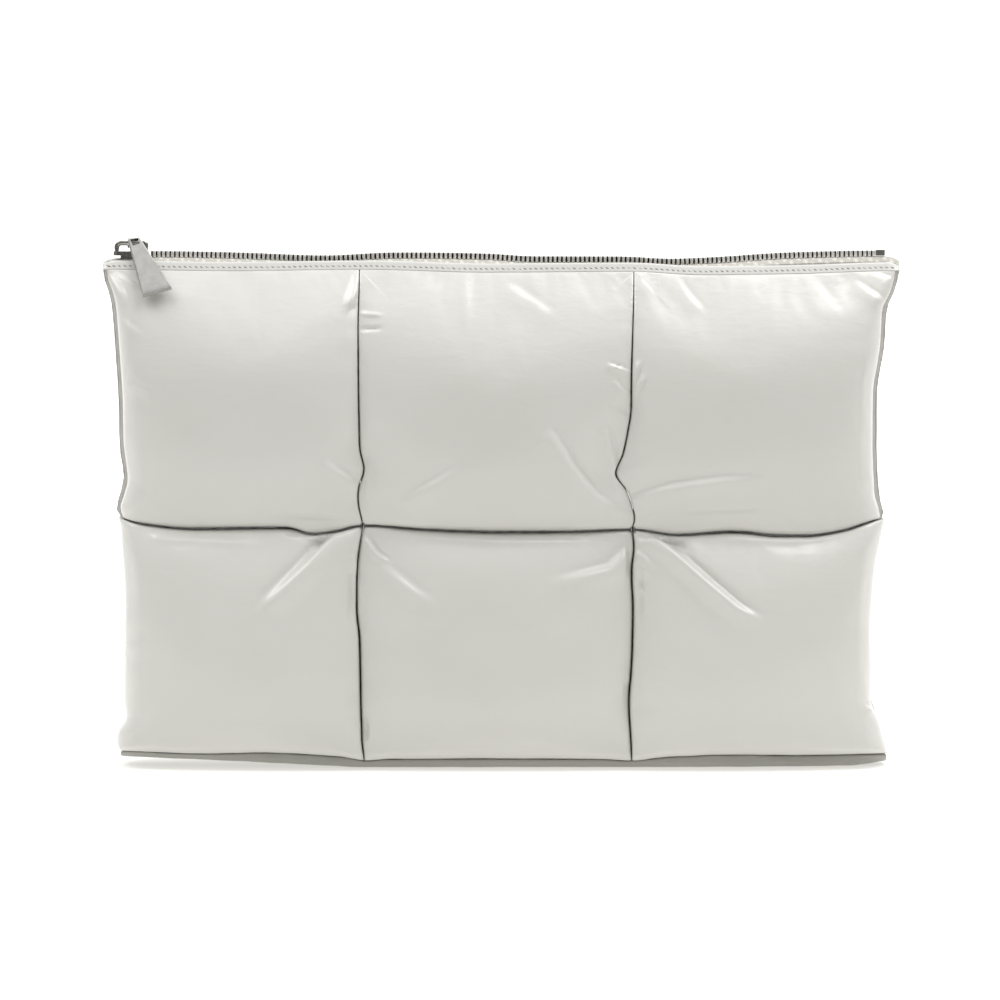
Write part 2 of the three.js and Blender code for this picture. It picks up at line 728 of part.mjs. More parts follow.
function buildSlider() {
  const upperLow = wingTop - wingThickness;
  const lowerTop = upperLow - chainBelow - 2 * tapeThickness - seamGap;
  const post = block(sliderLeft + 3, sliderRight - 6, postHalfWidth, lowerTop - 0.5, upperLow + 0.5);
  const upper = wing(sliderHalfWidth, sliderHeelHalfWidth, upperLow, wingThickness);
  const lowerWing = wing(sliderLowerHalfWidth, sliderLowerHalfWidth, lowerTop - lowerWingThickness, lowerWingThickness);
  return named("zip_slider", joinAndCut([upper, lowerWing, post, bridgeWire()], []), nickel);
}

// The pull tab hangs by a rolled eye on the bridge's wire and leans against the padding.
// Its own frame has the eye's middle at the origin, the wire along X and the plate's face towards -Y.
const eyeRight = bridgeRight - bridgeWireRadius - bridgeCorner / 2 - eyeInset;
const eyeMiddle = eyeRight - tabNeckWidth / 2;

function tabOutline(inset, footInset) {
  const [neck, foot] = [tabNeckWidth / 2 - inset, tabFootWidth / 2 - inset];
  const low = -tabLength + footInset;
  return [
    [-neck, 0],
    [neck, 0],
    [foot, low],
    [-foot, low],
  ];
}

function buildTab() {
  const faceDepth = eyeInnerRadius + tabThickness;
  const layers = [
    { depth: eyeInnerRadius, inset: 0, footInset: 0 },
    { depth: faceDepth - tabEdgeBevel, inset: 0, footInset: 0 },
    { depth: faceDepth, inset: tabEdgeBevel, footInset: tabFootBevel },
  ];
  const plate = loft(
    layers.map(({ depth, inset, footInset }) =>
      tabOutline(inset, footInset).map(([x, z]) => new THREE.Vector3(x, -depth, z)),
    ),
  );
  plate.rotateY(-tabTilt * degree);
  const rollOuter = new THREE.CylinderGeometry(eyeOuterRadius, eyeOuterRadius, tabNeckWidth, 20);
  const rollInner = new THREE.CylinderGeometry(eyeInnerRadius, eyeInnerRadius, 3 * tabFootWidth, 20);
  rollOuter.rotateZ(Math.PI / 2);
  rollInner.rotateZ(Math.PI / 2);
  const window = new THREE.BoxGeometry(tabNeckWidth - 2 * eyeSideBar, 2 * faceDepth, eyeWindowLength);
  window.translate(0, -faceDepth, -eyeWindowLength / 2 + bridgeWireRadius);
  window.rotateY(-tabTilt * degree);
  return joinAndCut([plate, rollOuter], [rollInner, window]);
}

// The lean at rest: the least angle at which the plate's back clears the padding under it
function restLean() {
  const patch = squarePatch(0, 1);
  let lean = 0;
  for (let i = 0; i <= frontSteps; i++) {
    for (let j = 0; j <= frontSteps; j++) {
      const [u, v] = [gridPlace(i, frontSteps), gridPlace(j, frontSteps)];
      const place = patch(u, v);
      const drop = barHeight - place.y;
      const near = Math.abs(place.x - eyeMiddle - drop * Math.tan(tabTilt * degree)) < tabFootWidth;
      if (!near || drop > tabLength) continue;
      const depth = frontDepth("top_left", patch, u, v) + tabRestGap;
      const away = Math.hypot(depth, drop);
      const angle = Math.atan2(depth, drop) - Math.asin(Math.min(1, eyeInnerRadius / away));
      lean = Math.max(lean, angle);
    }
  }
  return lean;
}

function buildHangingTab() {
  const tab = named("pull_tab", buildTab(), nickel);
  tab.position.set(eyeMiddle, 0, barHeight);
  tab.rotation.x = -restLean();
  return tab;
}

const pouch = new THREE.Group();
pouch.add(buildSquares());
pouch.add(buildBottomFold());
pouch.add(buildSideSeam("side_seam_left", leftEdge, -1));
pouch.add(buildSideSeam("side_seam_right", rightEdge, 1));
pouch.add(buildBinding("top_binding_front", -1));
pouch.add(buildBinding("top_binding_back", 1));
pouch.add(buildTape("zip_tape_front", -1));
pouch.add(buildTape("zip_tape_back", 1));
pouch.add(buildChain());
pouch.add(buildStop());
pouch.add(buildSlider());
pouch.add(buildHangingTab());

// The origin is on the floor, under the middle of the whole pouch.
const whole = new THREE.Box3().setFromObject(pouch);
const middle = whole.getCenter(new THREE.Vector3());
pouch.position.set(-middle.x, -middle.y, -whole.min.z);

export default pouch;
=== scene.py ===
# %% [markdown]
# # A padded leather pouch, built round its CAD frame
# The pouch is a flat bag of two padded walls, sewn into six squares each, with a metal zip along its top.
# The CAD model says where every piece is. This lesson puts soft leather, thread, woven tape and bright
# metal where the plain solids are, and nothing is moved away from the place that the frame gives it.

# %% Load the frame
import math
import bmesh
import bpy
import numpy as np
from mathutils import Matrix, Vector, noise


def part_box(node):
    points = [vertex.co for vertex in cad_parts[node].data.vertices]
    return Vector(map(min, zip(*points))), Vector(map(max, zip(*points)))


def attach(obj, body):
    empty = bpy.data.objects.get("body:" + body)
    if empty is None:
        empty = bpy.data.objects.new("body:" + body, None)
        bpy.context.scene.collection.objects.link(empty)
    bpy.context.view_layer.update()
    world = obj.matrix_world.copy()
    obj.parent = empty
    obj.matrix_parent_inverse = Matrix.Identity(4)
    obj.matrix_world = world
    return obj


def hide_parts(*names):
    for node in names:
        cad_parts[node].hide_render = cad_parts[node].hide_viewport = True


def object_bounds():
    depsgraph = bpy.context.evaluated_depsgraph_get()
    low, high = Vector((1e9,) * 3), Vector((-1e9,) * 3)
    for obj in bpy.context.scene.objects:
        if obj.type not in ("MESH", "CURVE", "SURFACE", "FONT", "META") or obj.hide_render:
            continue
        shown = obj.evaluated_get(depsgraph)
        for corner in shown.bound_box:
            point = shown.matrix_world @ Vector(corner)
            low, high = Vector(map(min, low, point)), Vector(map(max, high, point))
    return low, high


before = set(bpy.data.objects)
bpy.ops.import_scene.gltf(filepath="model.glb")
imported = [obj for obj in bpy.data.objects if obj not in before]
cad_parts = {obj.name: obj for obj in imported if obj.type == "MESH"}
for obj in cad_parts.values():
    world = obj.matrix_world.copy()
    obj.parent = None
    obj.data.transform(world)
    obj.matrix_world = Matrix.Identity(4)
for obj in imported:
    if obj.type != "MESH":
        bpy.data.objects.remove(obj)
cad_low, cad_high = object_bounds()
MM = 0.001
print("frame:", len(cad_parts), "nodes,", [round(v / MM, 1) for v in cad_high - cad_low], "mm")

# %% [markdown]
# ## The camera
# The photograph was taken straight on, from a little above the table and from far away, so that the pouch
# shows almost no perspective. A long lens 3 m away does the same. One pixel of the 1000 pixel frame is
# 0.44 mm at the pouch.

# %% Camera
PIXEL = 0.44 * MM
CAMERA_DISTANCE = 3.0
CAMERA_ELEVATION = math.radians(3.5)
AIM = Vector((-0.5 * MM, 0, 116.6 * MM))
SENSOR_MM = 36.0

camera_place = AIM + CAMERA_DISTANCE * Vector((0, -math.cos(CAMERA_ELEVATION), math.sin(CAMERA_ELEVATION)))
bpy.ops.object.camera_add(location=camera_place)
camera = bpy.context.object
camera.name = "photo_camera"
camera.rotation_euler = (AIM - camera_place).to_track_quat("-Z", "Y").to_euler()
camera.data.sensor_width = SENSOR_MM
camera.data.lens = SENSOR_MM * CAMERA_DISTANCE / (1000 * PIXEL)
camera.data.clip_end = 50
bpy.context.scene.camera = camera
print("camera:", round(camera.data.lens, 1), "mm lens")

# %% [markdown]
# ## Small helpers
# Blender's operators act on whatever is selected, so each step starts from a clean selection. Two more
# helpers put a finished piece into the frame, and read how a line of the CAD model runs.

# %% Selection helpers
def deselect_all():
    if bpy.context.mode != "OBJECT":
        bpy.ops.object.mode_set(mode="OBJECT")
    for shown in bpy.context.selected_objects:
        shown.select_set(False)


def pick(piece):
    """Selects one piece alone and makes it active."""
    deselect_all()
    piece.hide_set(False)
    piece.select_set(True)
    bpy.context.view_layer.objects.active = piece
    return piece


def vertices_of(piece):
    """The piece's vertices as rows of x, y, z, in metres."""
    places = np.zeros(len(piece.data.vertices) * 3)
    piece.data.vertices.foreach_get("co", places)
    return places.reshape(-1, 3)


def put_vertices(piece, places):
    piece.data.vertices.foreach_set("co", np.ascontiguousarray(places, dtype=np.float32).ravel())
    piece.data.update()


def normals_of(piece):
    rows = np.zeros(len(piece.data.vertices) * 3)
    piece.data.vertices.foreach_get("normal", rows)
    return rows.reshape(-1, 3)


def apply_modifiers(piece):
    pick(piece)
    for modifier in list(piece.modifiers):
        bpy.ops.object.modifier_apply(modifier=modifier.name)


def dress(piece, name, material, body="bag", replaced=()):
    """Names a finished piece, gives it its material, and puts it into the frame."""
    piece.name = name
    piece.data.name = name
    piece.data.materials.clear()
    piece.data.materials.append(material)
    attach(piece, body)
    if replaced:
        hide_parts(*replaced)
    return piece


def copy_of_node(node):
    """A merged copy of a CAD node's loose triangles, as a piece of its own."""
    piece = bpy.data.objects.new(node + "_copy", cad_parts[node].data.copy())
    bpy.context.collection.objects.link(piece)
    pick(piece)
    bpy.ops.object.mode_set(mode="EDIT")
    bpy.ops.mesh.select_all(action="SELECT")
    bpy.ops.mesh.remove_doubles(threshold=0.001 * MM)
    bpy.ops.object.mode_set(mode="OBJECT")
    return piece


# %% [markdown]
# ## Materials
# Each material starts from what the real one is. One function turns a colour from the sRGB values that
# a picture editor shows into the linear values that Blender reckons in, and one function adds a shader
# node with its settings and its links.

# %% Colour and node helpers
def linear(code):
    """sRGB hex such as "#d9d8d2" as linear red, green, blue and alpha."""
    shares = [int(code[i : i + 2], 16) / 255 for i in (1, 3, 5)]
    return (*[s / 12.92 if s <= 0.04045 else ((s + 0.055) / 1.055) ** 2.4 for s in shares], 1.0)


def add(material, kind, settings=None, links=None):
    """Adds a node. Settings are properties or input values, and links feed an input from (node, output)."""
    node = material.node_tree.nodes.new(kind)
    for key, value in (settings or {}).items():
        if isinstance(key, str) and hasattr(node, key):
            setattr(node, key, value)
        else:
            node.inputs[key].default_value = value
    for key, (source, output) in (links or {}).items():
        material.node_tree.links.new(source.outputs[output], node.inputs[key])
    return node


def new_material(name, **settings):
    """A material with a Principled shader whose plain values are set on its own sockets."""
    material = bpy.data.materials.new(name)
    material.use_nodes = True
    shader = material.node_tree.nodes["Principled BSDF"]
    for key, value in settings.items():
        shader.inputs[key.replace("_", " ")].default_value = value
    return material, shader


def feed(material, source, output, shader, socket):
    material.node_tree.links.new(source.outputs[output], shader.inputs[socket])


# %% [markdown]
# ### Nappa leather
# The walls are lambskin nappa: tanned soft, dyed in a bone white and finished with a thin glossy film.
# The film gives broad soft reflections. Under it the skin keeps a fine grain of cells about a millimetre
# wide, and the thin skin crinkles in shallow waves a few millimetres long wherever it is pulled.

# %% Nappa leather
def nappa_leather(name, light, dark, roughness):
    material, shader = new_material(name, Specular_IOR_Level=0.5, Coat_Weight=0.35, Coat_Roughness=0.14)
    place = add(material, "ShaderNodeTexCoord")
    cloudy = add(material, "ShaderNodeTexNoise", {"Scale": 1000 / 55, "Detail": 3.0, "Roughness": 0.5},
                 {"Vector": (place, "Object")})
    tone = add(material, "ShaderNodeValToRGB", None, {"Fac": (cloudy, "Fac")})
    tone.color_ramp.elements[0].position, tone.color_ramp.elements[0].color = 0.15, linear(dark)
    tone.color_ramp.elements[1].position, tone.color_ramp.elements[1].color = 0.85, linear(light)
    # Painted shade: where a piece carries the side shade mask, a dark grey is mixed into its colour, a shadow
    # line along the upper side seams.
    side_shade_mask = add(material, "ShaderNodeAttribute", {"attribute_name": "painted_side_shade"})
    side_shade_mix = add(material, "ShaderNodeMix", {"data_type": "RGBA", 7: linear("#87857d")},
                  {0: (side_shade_mask, "Fac"), 6: (tone, "Color")})
    material.node_tree.links.new(side_shade_mix.outputs[2], shader.inputs["Base Color"])
    shine = add(material, "ShaderNodeMapRange", {"From Min": 0.1, "From Max": 0.9,
                "To Min": roughness - 0.05, "To Max": roughness + 0.05}, {"Value": (cloudy, "Fac")})
    feed(material, shine, "Result", shader, "Roughness")
    grain = add(material, "ShaderNodeTexVoronoi", {"feature": "SMOOTH_F1", "Scale": 1000 / 1.3},
                {"Vector": (place, "Object")})
    stretched = add(material, "ShaderNodeMapping", {"Scale": (0.45, 1.0, 1.3)}, {"Vector": (place, "Object")})
    crinkle = add(material, "ShaderNodeTexNoise", {"Scale": 1000 / 7, "Detail": 4.0, "Roughness": 0.55,
                  "Distortion": 0.4}, {"Vector": (stretched, "Vector")})
    grain_bump = add(material, "ShaderNodeBump", {"Strength": 0.25, "Distance": 0.05 * MM},
                     {"Height": (grain, "Distance")})
    crinkle_bump = add(material, "ShaderNodeBump", {"Strength": 0.55, "Distance": 0.35 * MM},
                       {"Height": (crinkle, "Fac"), "Normal": (grain_bump, "Normal")})
    feed(material, crinkle_bump, "Normal", shader, "Normal")
    return material


LEATHER = nappa_leather("nappa_leather_bone_white", "#d7d6d1", "#d1d0ca", 0.3)
EDGE_LEATHER = nappa_leather("nappa_leather_folded_edge", "#cfceca", "#c7c6c1", 0.42)
# The bottom fold gets a darker copy of the leather: painted shade for the underside near the floor.
SHADED_FOOT_LEATHER = nappa_leather("nappa_leather_bottom_painted_shade", "#b3b2ac", "#a6a59f", 0.45)
print("leather:", LEATHER.name, EDGE_LEATHER.name, SHADED_FOOT_LEATHER.name)

# %% [markdown]
# ### Woven tape and thread
# A zip tape is woven from polyester yarn about 0.3 mm thick, over and under. The thread of the stitches is
# bonded nylon, twisted from three plies, so each stitch has a slanting line along it.

# %% Woven tape and thread
def woven_polyester(name, light, dark, yarn):
    material, shader = new_material(name, Roughness=0.82, Specular_IOR_Level=0.3, Sheen_Weight=0.15)
    place = add(material, "ShaderNodeTexCoord")
    across = add(material, "ShaderNodeTexWave", {"bands_direction": "X", "Scale": 1000 / yarn / 20,
                 "Distortion": 0.6, "Detail": 1.0}, {"Vector": (place, "Object")})
    along = add(material, "ShaderNodeTexWave", {"bands_direction": "DIAGONAL", "Scale": 1000 / yarn / 24,
                "Distortion": 0.4, "Detail": 1.0}, {"Vector": (place, "Object")})
    weave = add(material, "ShaderNodeMath", {"operation": "MULTIPLY"},
                {0: (across, "Fac"), 1: (along, "Fac")})
    tone = add(material, "ShaderNodeMix", {"data_type": "RGBA"}, {"Factor": (weave, "Value")})
    tone.inputs[6].default_value, tone.inputs[7].default_value = linear(dark), linear(light)
    material.node_tree.links.new(tone.outputs[2], shader.inputs["Base Color"])
    bump = add(material, "ShaderNodeBump", {"Strength": 0.5, "Distance": 0.1 * MM},
               {"Height": (weave, "Value")})
    feed(material, bump, "Normal", shader, "Normal")
    return material


TAPE = woven_polyester("woven_polyester_tape", "#cecbc5", "#b0ada5", 0.5)
THREAD = woven_polyester("bonded_nylon_thread", "#c4c2bb", "#86847c", 0.35)

# %% [markdown]
# ### Nickel plate
# The zip is die-cast zinc with a nickel plate, polished and a little worn. Nickel is a warm, light grey
# metal. Fine handling marks show as faint streaks in its roughness. The middle of the zip chain gets a
# near-black colour, painted shade between the teeth.

# %% Nickel plate
def nickel_plate(name, light, dark, roughness, mark, shade_reach=None):
    material, shader = new_material(name, Metallic=1.0)
    place = add(material, "ShaderNodeTexCoord")
    stretched = add(material, "ShaderNodeMapping", {"Scale": (1.0, 1.0, 0.12)}, {"Vector": (place, "Object")})
    marks = add(material, "ShaderNodeTexNoise", {"Scale": 1000 / mark, "Detail": 5.0},
                {"Vector": (stretched, "Vector")})
    tone = add(material, "ShaderNodeValToRGB", None, {"Fac": (marks, "Fac")})
    tone.color_ramp.elements[0].position, tone.color_ramp.elements[0].color = 0.3, linear(dark)
    tone.color_ramp.elements[1].position, tone.color_ramp.elements[1].color = 0.7, linear(light)
    # Painted shade: close to the middle plane of the chain the colour turns almost black, for the shade
    # between the teeth.
    if shade_reach:
        parts = add(material, "ShaderNodeSeparateXYZ", None, {"Vector": (place, "Object")})
        depth = add(material, "ShaderNodeMath", {"operation": "ABSOLUTE"}, {0: (parts, "Y")})
        unshaded_share = add(material, "ShaderNodeMapRange",
                        {"From Min": shade_reach - 0.2 * MM, "From Max": shade_reach + 0.1 * MM},
                        {"Value": (depth, "Value")})
        painted_gap_shade = add(material, "ShaderNodeMix", {"data_type": "RGBA", 6: linear("#2f2e2c")},
                     {0: (unshaded_share, "Result"), 7: (tone, "Color")})
        material.node_tree.links.new(painted_gap_shade.outputs[2], shader.inputs["Base Color"])
    else:
        feed(material, tone, "Color", shader, "Base Color")
    shine = add(material, "ShaderNodeMapRange", {"From Min": 0.2, "From Max": 0.8,
                "To Min": roughness * 0.85, "To Max": roughness * 1.2}, {"Value": (marks, "Fac")})
    feed(material, shine, "Result", shader, "Roughness")
    bump = add(material, "ShaderNodeBump", {"Strength": 0.05, "Distance": 0.01 * MM},
               {"Height": (marks, "Fac")})
    feed(material, bump, "Normal", shader, "Normal")
    return material


NICKEL = nickel_plate("nickel_plate_polished", "#bdbcb8", "#b6b5b1", 0.2, 2.5)
# The slider's nickel is a darker copy of the same plate: painted shade.
SHADED_NICKEL = nickel_plate("nickel_plate_slider_painted_shade", "#aaa8a3", "#8d8b86", 0.22, 2.0)
# The teeth's nickel is much lighter than the rest of the plate, painted light, and its middle carries painted
# shade.
TOOTH_NICKEL = nickel_plate("nickel_plate_zip_teeth", "#f4f2ed", "#e2e0da", 0.48, 0.8, shade_reach=1.5 * MM)

# %% [markdown]
# ## The padded squares
# Each wall is made of six pads: a leather square sewn down on all four sides over soft filling. Sewn
# edges can't move, while the middle swells, so the leather has too much edge and gathers in small puckers
# beside the seams. A pad is therefore made in three steps. A fine grid is laid between the sewn sides
# that the CAD node gives and crowned. A cloth simulation then blows it up with its sides held. Last come
# the large folds, which the maker sees in the photograph and no simulation would put in the same place.

# %% The sewn sides of a square
WALLS = {"front": -1, "back": 1}
SQUARES = [f"{row}_{column}" for row in ("top", "bottom") for column in ("left", "middle", "right")]


def sewn_sides(node, outward):
    """The four sewn sides of a padded square, as foot, head, left and right rows of points."""
    shell = bmesh.new()
    shell.from_mesh(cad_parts[node].data)
    bmesh.ops.remove_doubles(shell, verts=shell.verts, dist=0.001 * MM)
    shell.normal_update()
    crown = {f for f in shell.faces if f.normal.y * outward > 0.04}
    beside = {}
    for edge in shell.edges:
        if sum(f in crown for f in edge.link_faces) == 1:
            a, b = edge.verts
            beside.setdefault(a, []).append(b)
            beside.setdefault(b, []).append(a)
    start = next(iter(beside))
    loop, last = [start], None
    while True:
        here = loop[-1]
        after = [v for v in beside[here] if v is not last]
        if after[0] is start and len(loop) > 2:
            break
        last = here
        loop.append(after[0])
        if loop[-1] is start:
            loop.pop()
            break
    points = np.array([v.co for v in loop])
    shell.free()
    corner = {}
    corner_ways = {"foot_left": (-1, -1), "foot_right": (1, -1), "head_right": (1, 1), "head_left": (-1, 1)}
    for name, (sx, sz) in corner_ways.items():
        corner[name] = int(np.argmax(points[:, 0] * sx + points[:, 2] * sz))

    def stretch(a, b):
        """The shorter way round the loop from corner a to corner b."""
        n = len(points)
        ahead = [(corner[a] + i) % n for i in range((corner[b] - corner[a]) % n + 1)]
        back = [(corner[a] - i) % n for i in range((corner[a] - corner[b]) % n + 1)]
        return points[ahead if len(ahead) <= len(back) else back]

    return {"foot": stretch("foot_left", "foot_right"), "head": stretch("head_left", "head_right"),
            "left": stretch("foot_left", "head_left"), "right": stretch("foot_right", "head_right")}


def along(points, shares):
    """Points at shares of a line's length, on a smooth curve through the line's own points."""
    steps = np.linalg.norm(np.diff(points, axis=0), axis=1)
    length = np.concatenate([[0], np.cumsum(steps)])
    length /= length[-1]
    slope = np.gradient(points, length, axis=0)
    place = np.clip(np.searchsorted(length, shares, side="right") - 1, 0, len(points) - 2)
    span = (length[place + 1] - length[place])[:, None]
    t = (shares - length[place])[:, None] / span
    return ((2 * t**3 - 3 * t**2 + 1) * points[place] + (t**3 - 2 * t**2 + t) * span * slope[place]
            + (-2 * t**3 + 3 * t**2) * points[place + 1] + (t**3 - t**2) * span * slope[place + 1])


# %% Lay and crown the grid
FRONT_CELLS, BACK_CELLS = 88, 44
DOME_POWER = 0.4  # the low dome over the height of a square
DOME_ACROSS = 0.24  # and over its width, which is flatter
SHOULDER_SHARE = 0.6  # the part of the height that the filling gains in a round shoulder beside the seam
EDGE_CELL = 0.36  # a cell beside a seam is this much as wide as the mean one
UPRIGHT_ROUNDS = {"top": 0.7 * MM, "bottom": 1.3 * MM}  # the shoulder's radius at an upright seam
LEVEL_ROUND = 1.5 * MM  # and at the level one
SIDE_ROUND = 9 * MM  # at the two sides of the pouch
FOOT_ROUND = 4.5 * MM
LEAN_REACH = 54 * MM  # under the zip the wall leans back over this height
LEAN_POWER = 0.88
SIDE_HOLD = 5  # keeps a kink of a seam close to that seam
START_SHARE = 0.92  # the pad starts a little lower and the pressure fills it


def shoulder(room, radius):
    """The rise of a round shoulder, from 0 at the seam to 1 a radius away."""
    return np.sqrt(1 - (1 - np.minimum(room / radius, 1)) ** 2)


def crowned_pad(wall, square):
    """A grid between the four sewn sides of a square, swollen as high as the CAD node."""
    outward = WALLS[wall]
    node = f"{wall}_panel_{square}"
    sides = sewn_sides(node, outward)
    low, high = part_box(node)
    rim_depth = np.mean([abs(side[:, 1]).mean() for side in sides.values()])
    swell = max(abs(low.y), abs(high.y)) - rim_depth
    cells = FRONT_CELLS if wall == "front" else BACK_CELLS
    deselect_all()
    bpy.ops.mesh.primitive_grid_add(x_subdivisions=cells, y_subdivisions=cells, size=1)
    pad = bpy.context.object
    flat = vertices_of(pad)
    i = np.rint((flat[:, 0] + 0.5) * cells).astype(int)
    j = np.rint((flat[:, 1] + 0.5) * cells).astype(int)
    if outward > 0:
        i = cells - i
    step = np.arange(cells + 1) / cells
    share = EDGE_CELL * step + (1 - EDGE_CELL) / 2 * (1 - np.cos(math.pi * step))
    u, v = share[i][:, None], share[j][:, None]
    corners = [sides["foot"][0], sides["foot"][-1], sides["head"][0], sides["head"][-1]]
    flat_place = ((1 - u) * (1 - v) * corners[0] + u * (1 - v) * corners[1]
                  + (1 - u) * v * corners[2] + u * v * corners[3])

    def bow(side, a, b):
        """How far a sewn side lies from the straight line between its ends."""
        return along(sides[side], share) - ((1 - share)[:, None] * a + share[:, None] * b)

    hold = np.array([SIDE_HOLD, 1.5, SIDE_HOLD])
    places = (flat_place
              + (1 - v) ** hold * bow("foot", corners[0], corners[1])[i]
              + v**hold * bow("head", corners[2], corners[3])[i]
              + (1 - u) ** hold * bow("left", corners[0], corners[2])[j]
              + u**hold * bow("right", corners[1], corners[3])[j])
    width, height = high.x - low.x, high.z - low.z
    upright_round = UPRIGHT_ROUNDS[square.split("_")[0]]
    rounds = [SIDE_ROUND if low.x < cad_low.x + 20 * MM else upright_round,
              SIDE_ROUND if high.x > cad_high.x - 20 * MM else upright_round,
              FOOT_ROUND if square.startswith("bottom") else LEVEL_ROUND]
    rise = (shoulder(u * width, rounds[0]) * shoulder((1 - u) * width, rounds[1])
            * shoulder(v * height, rounds[2]))
    if square.startswith("top"):
        lower = np.minimum(v, 0.5)
        dome = (4 * lower * (1 - lower)) ** DOME_POWER * (4 * u * (1 - u)) ** DOME_ACROSS
        lean = (1 - (1 - np.minimum((1 - v) * height / LEAN_REACH, 1)) ** 2) ** LEAN_POWER
    else:
        rise *= shoulder((1 - v) * height, LEVEL_ROUND)
        dome = (4 * v * (1 - v)) ** DOME_POWER * (4 * u * (1 - u)) ** DOME_ACROSS
        lean = 1.0
    puff = (SHOULDER_SHARE * rise + (1 - SHOULDER_SHARE) * dome) * lean
    places[:, 1] += outward * START_SHARE * swell * puff[:, 0]
    put_vertices(pad, places)
    held = pad.vertex_groups.new(name="sewn")
    held.add([int(k) for k in np.nonzero((i == 0) | (i == cells) | (j == 0) | (j == cells))[0]], 1.0, "ADD")
    pad.name = f"pad_{wall}_{square}"
    return pad, sides


pads, sewn = {}, {}
for wall in WALLS:
    for square in SQUARES:
        pads[wall, square], sewn[wall, square] = crowned_pad(wall, square)
print("pads:", len(pads), "with", [len(s) for s in sewn["front", "top_left"].values()],
      "points on their sides")

# %% [markdown]
# ### Filling the pads
# Blender's Cloth stands for the leather skin. Its sewn vertices are pinned, a steady pressure stands for
# the filling, gravity is off because the filling carries the skin, and the skin is about one per cent larger
# than the pad, as cut leather is, so that it gathers at the seams. A pad may not move sideways over its
# own seam, so the sideways move of each point is capped by its distance from the seam.

# %% Blow up the pads
PRESSURE = 4.0
SKIN_GROWTH = 0.012  # how much larger the cut skin is than the pad
SWELL_CAP = 6 * MM
SIM_FRAMES = 20
EVEN_PASSES, EVEN_SHARE = 60, 0.8
RIM_SAMPLES = 150  # points on each sewn side


def seam_distance(places, sides):
    """Each point's distance from the nearest sewn side, seen from the front, and the place along the seam."""
    rim = np.concatenate([along(sides[name], np.linspace(0, 1, RIM_SAMPLES))
                          for name in ("foot", "right", "head", "left")])
    order = np.arange(len(rim)) * 108 * MM / RIM_SAMPLES
    nearest = np.zeros(len(places), int)
    for part in np.array_split(np.arange(len(places)), 12):
        gap = np.linalg.norm(places[part][:, None, [0, 2]] - rim[None, :, [0, 2]], axis=2)
        nearest[part] = gap.argmin(axis=1)
    room = np.linalg.norm(places[:, [0, 2]] - rim[nearest][:, [0, 2]], axis=1)
    return room, order[nearest], rim[nearest], nearest // RIM_SAMPLES


def even_out(moved):
    """Softens the swelling over a few millimetres, as the thick filling under the skin does."""
    size = math.isqrt(len(moved))
    field = moved.reshape(size, size, 3)
    soft = field.copy()
    for _ in range(EVEN_PASSES):
        soft[1:-1, 1:-1] = (soft[:-2, 1:-1] + soft[2:, 1:-1] + soft[1:-1, :-2] + soft[1:-1, 2:]) / 4
    return (EVEN_SHARE * soft + (1 - EVEN_SHARE) * field).reshape(-1, 3)


started = {key: vertices_of(pad) for key, pad in pads.items()}
for pad in pads.values():
    cloth = pad.modifiers.new("skin", "CLOTH")
    cloth.settings.quality = 6
    cloth.settings.mass = 0.25
    cloth.settings.tension_stiffness = 25
    cloth.settings.compression_stiffness = 12
    cloth.settings.shear_stiffness = 8
    cloth.settings.bending_stiffness = 1.0
    cloth.settings.vertex_group_mass = "sewn"
    cloth.settings.pin_stiffness = 1
    cloth.settings.use_pressure = True
    cloth.settings.uniform_pressure_force = PRESSURE
    cloth.settings.shrink_min = -SKIN_GROWTH
    cloth.settings.effector_weights.gravity = 0
for number in range(1, SIM_FRAMES + 1):
    bpy.context.scene.frame_set(number)
for key, pad in pads.items():
    apply_modifiers(pad)
    moved = vertices_of(pad) - started[key]
    room = seam_distance(started[key], sewn[key])[0]
    sideways = np.linalg.norm(moved[:, [0, 2]], axis=1)
    limit = np.minimum(1.0, 0.5 * room / np.maximum(sideways, 1e-9))
    moved[:, [0, 2]] *= limit[:, None]
    moved[:, 1] = np.clip(moved[:, 1], -SWELL_CAP, SWELL_CAP)
    put_vertices(pad, started[key] + even_out(moved))
bpy.context.scene.frame_set(1)
deep = {key: round(float(abs(vertices_of(pad) - started[key])[:, 1].max()) / MM, 2)
        for key, pad in pads.items()}
print("swell in mm:", deep)

# %% [markdown]
# ### Folds, puckers and dents
# One subdivision makes the skin fine enough for folds two millimetres wide. Each fold is a row of a
# table: where it starts and ends on the wall, how wide and how high it is, and how sharp its shaded side
# is. Small waves that stand square to the seams are the gathers that every hand-sewn pad has.

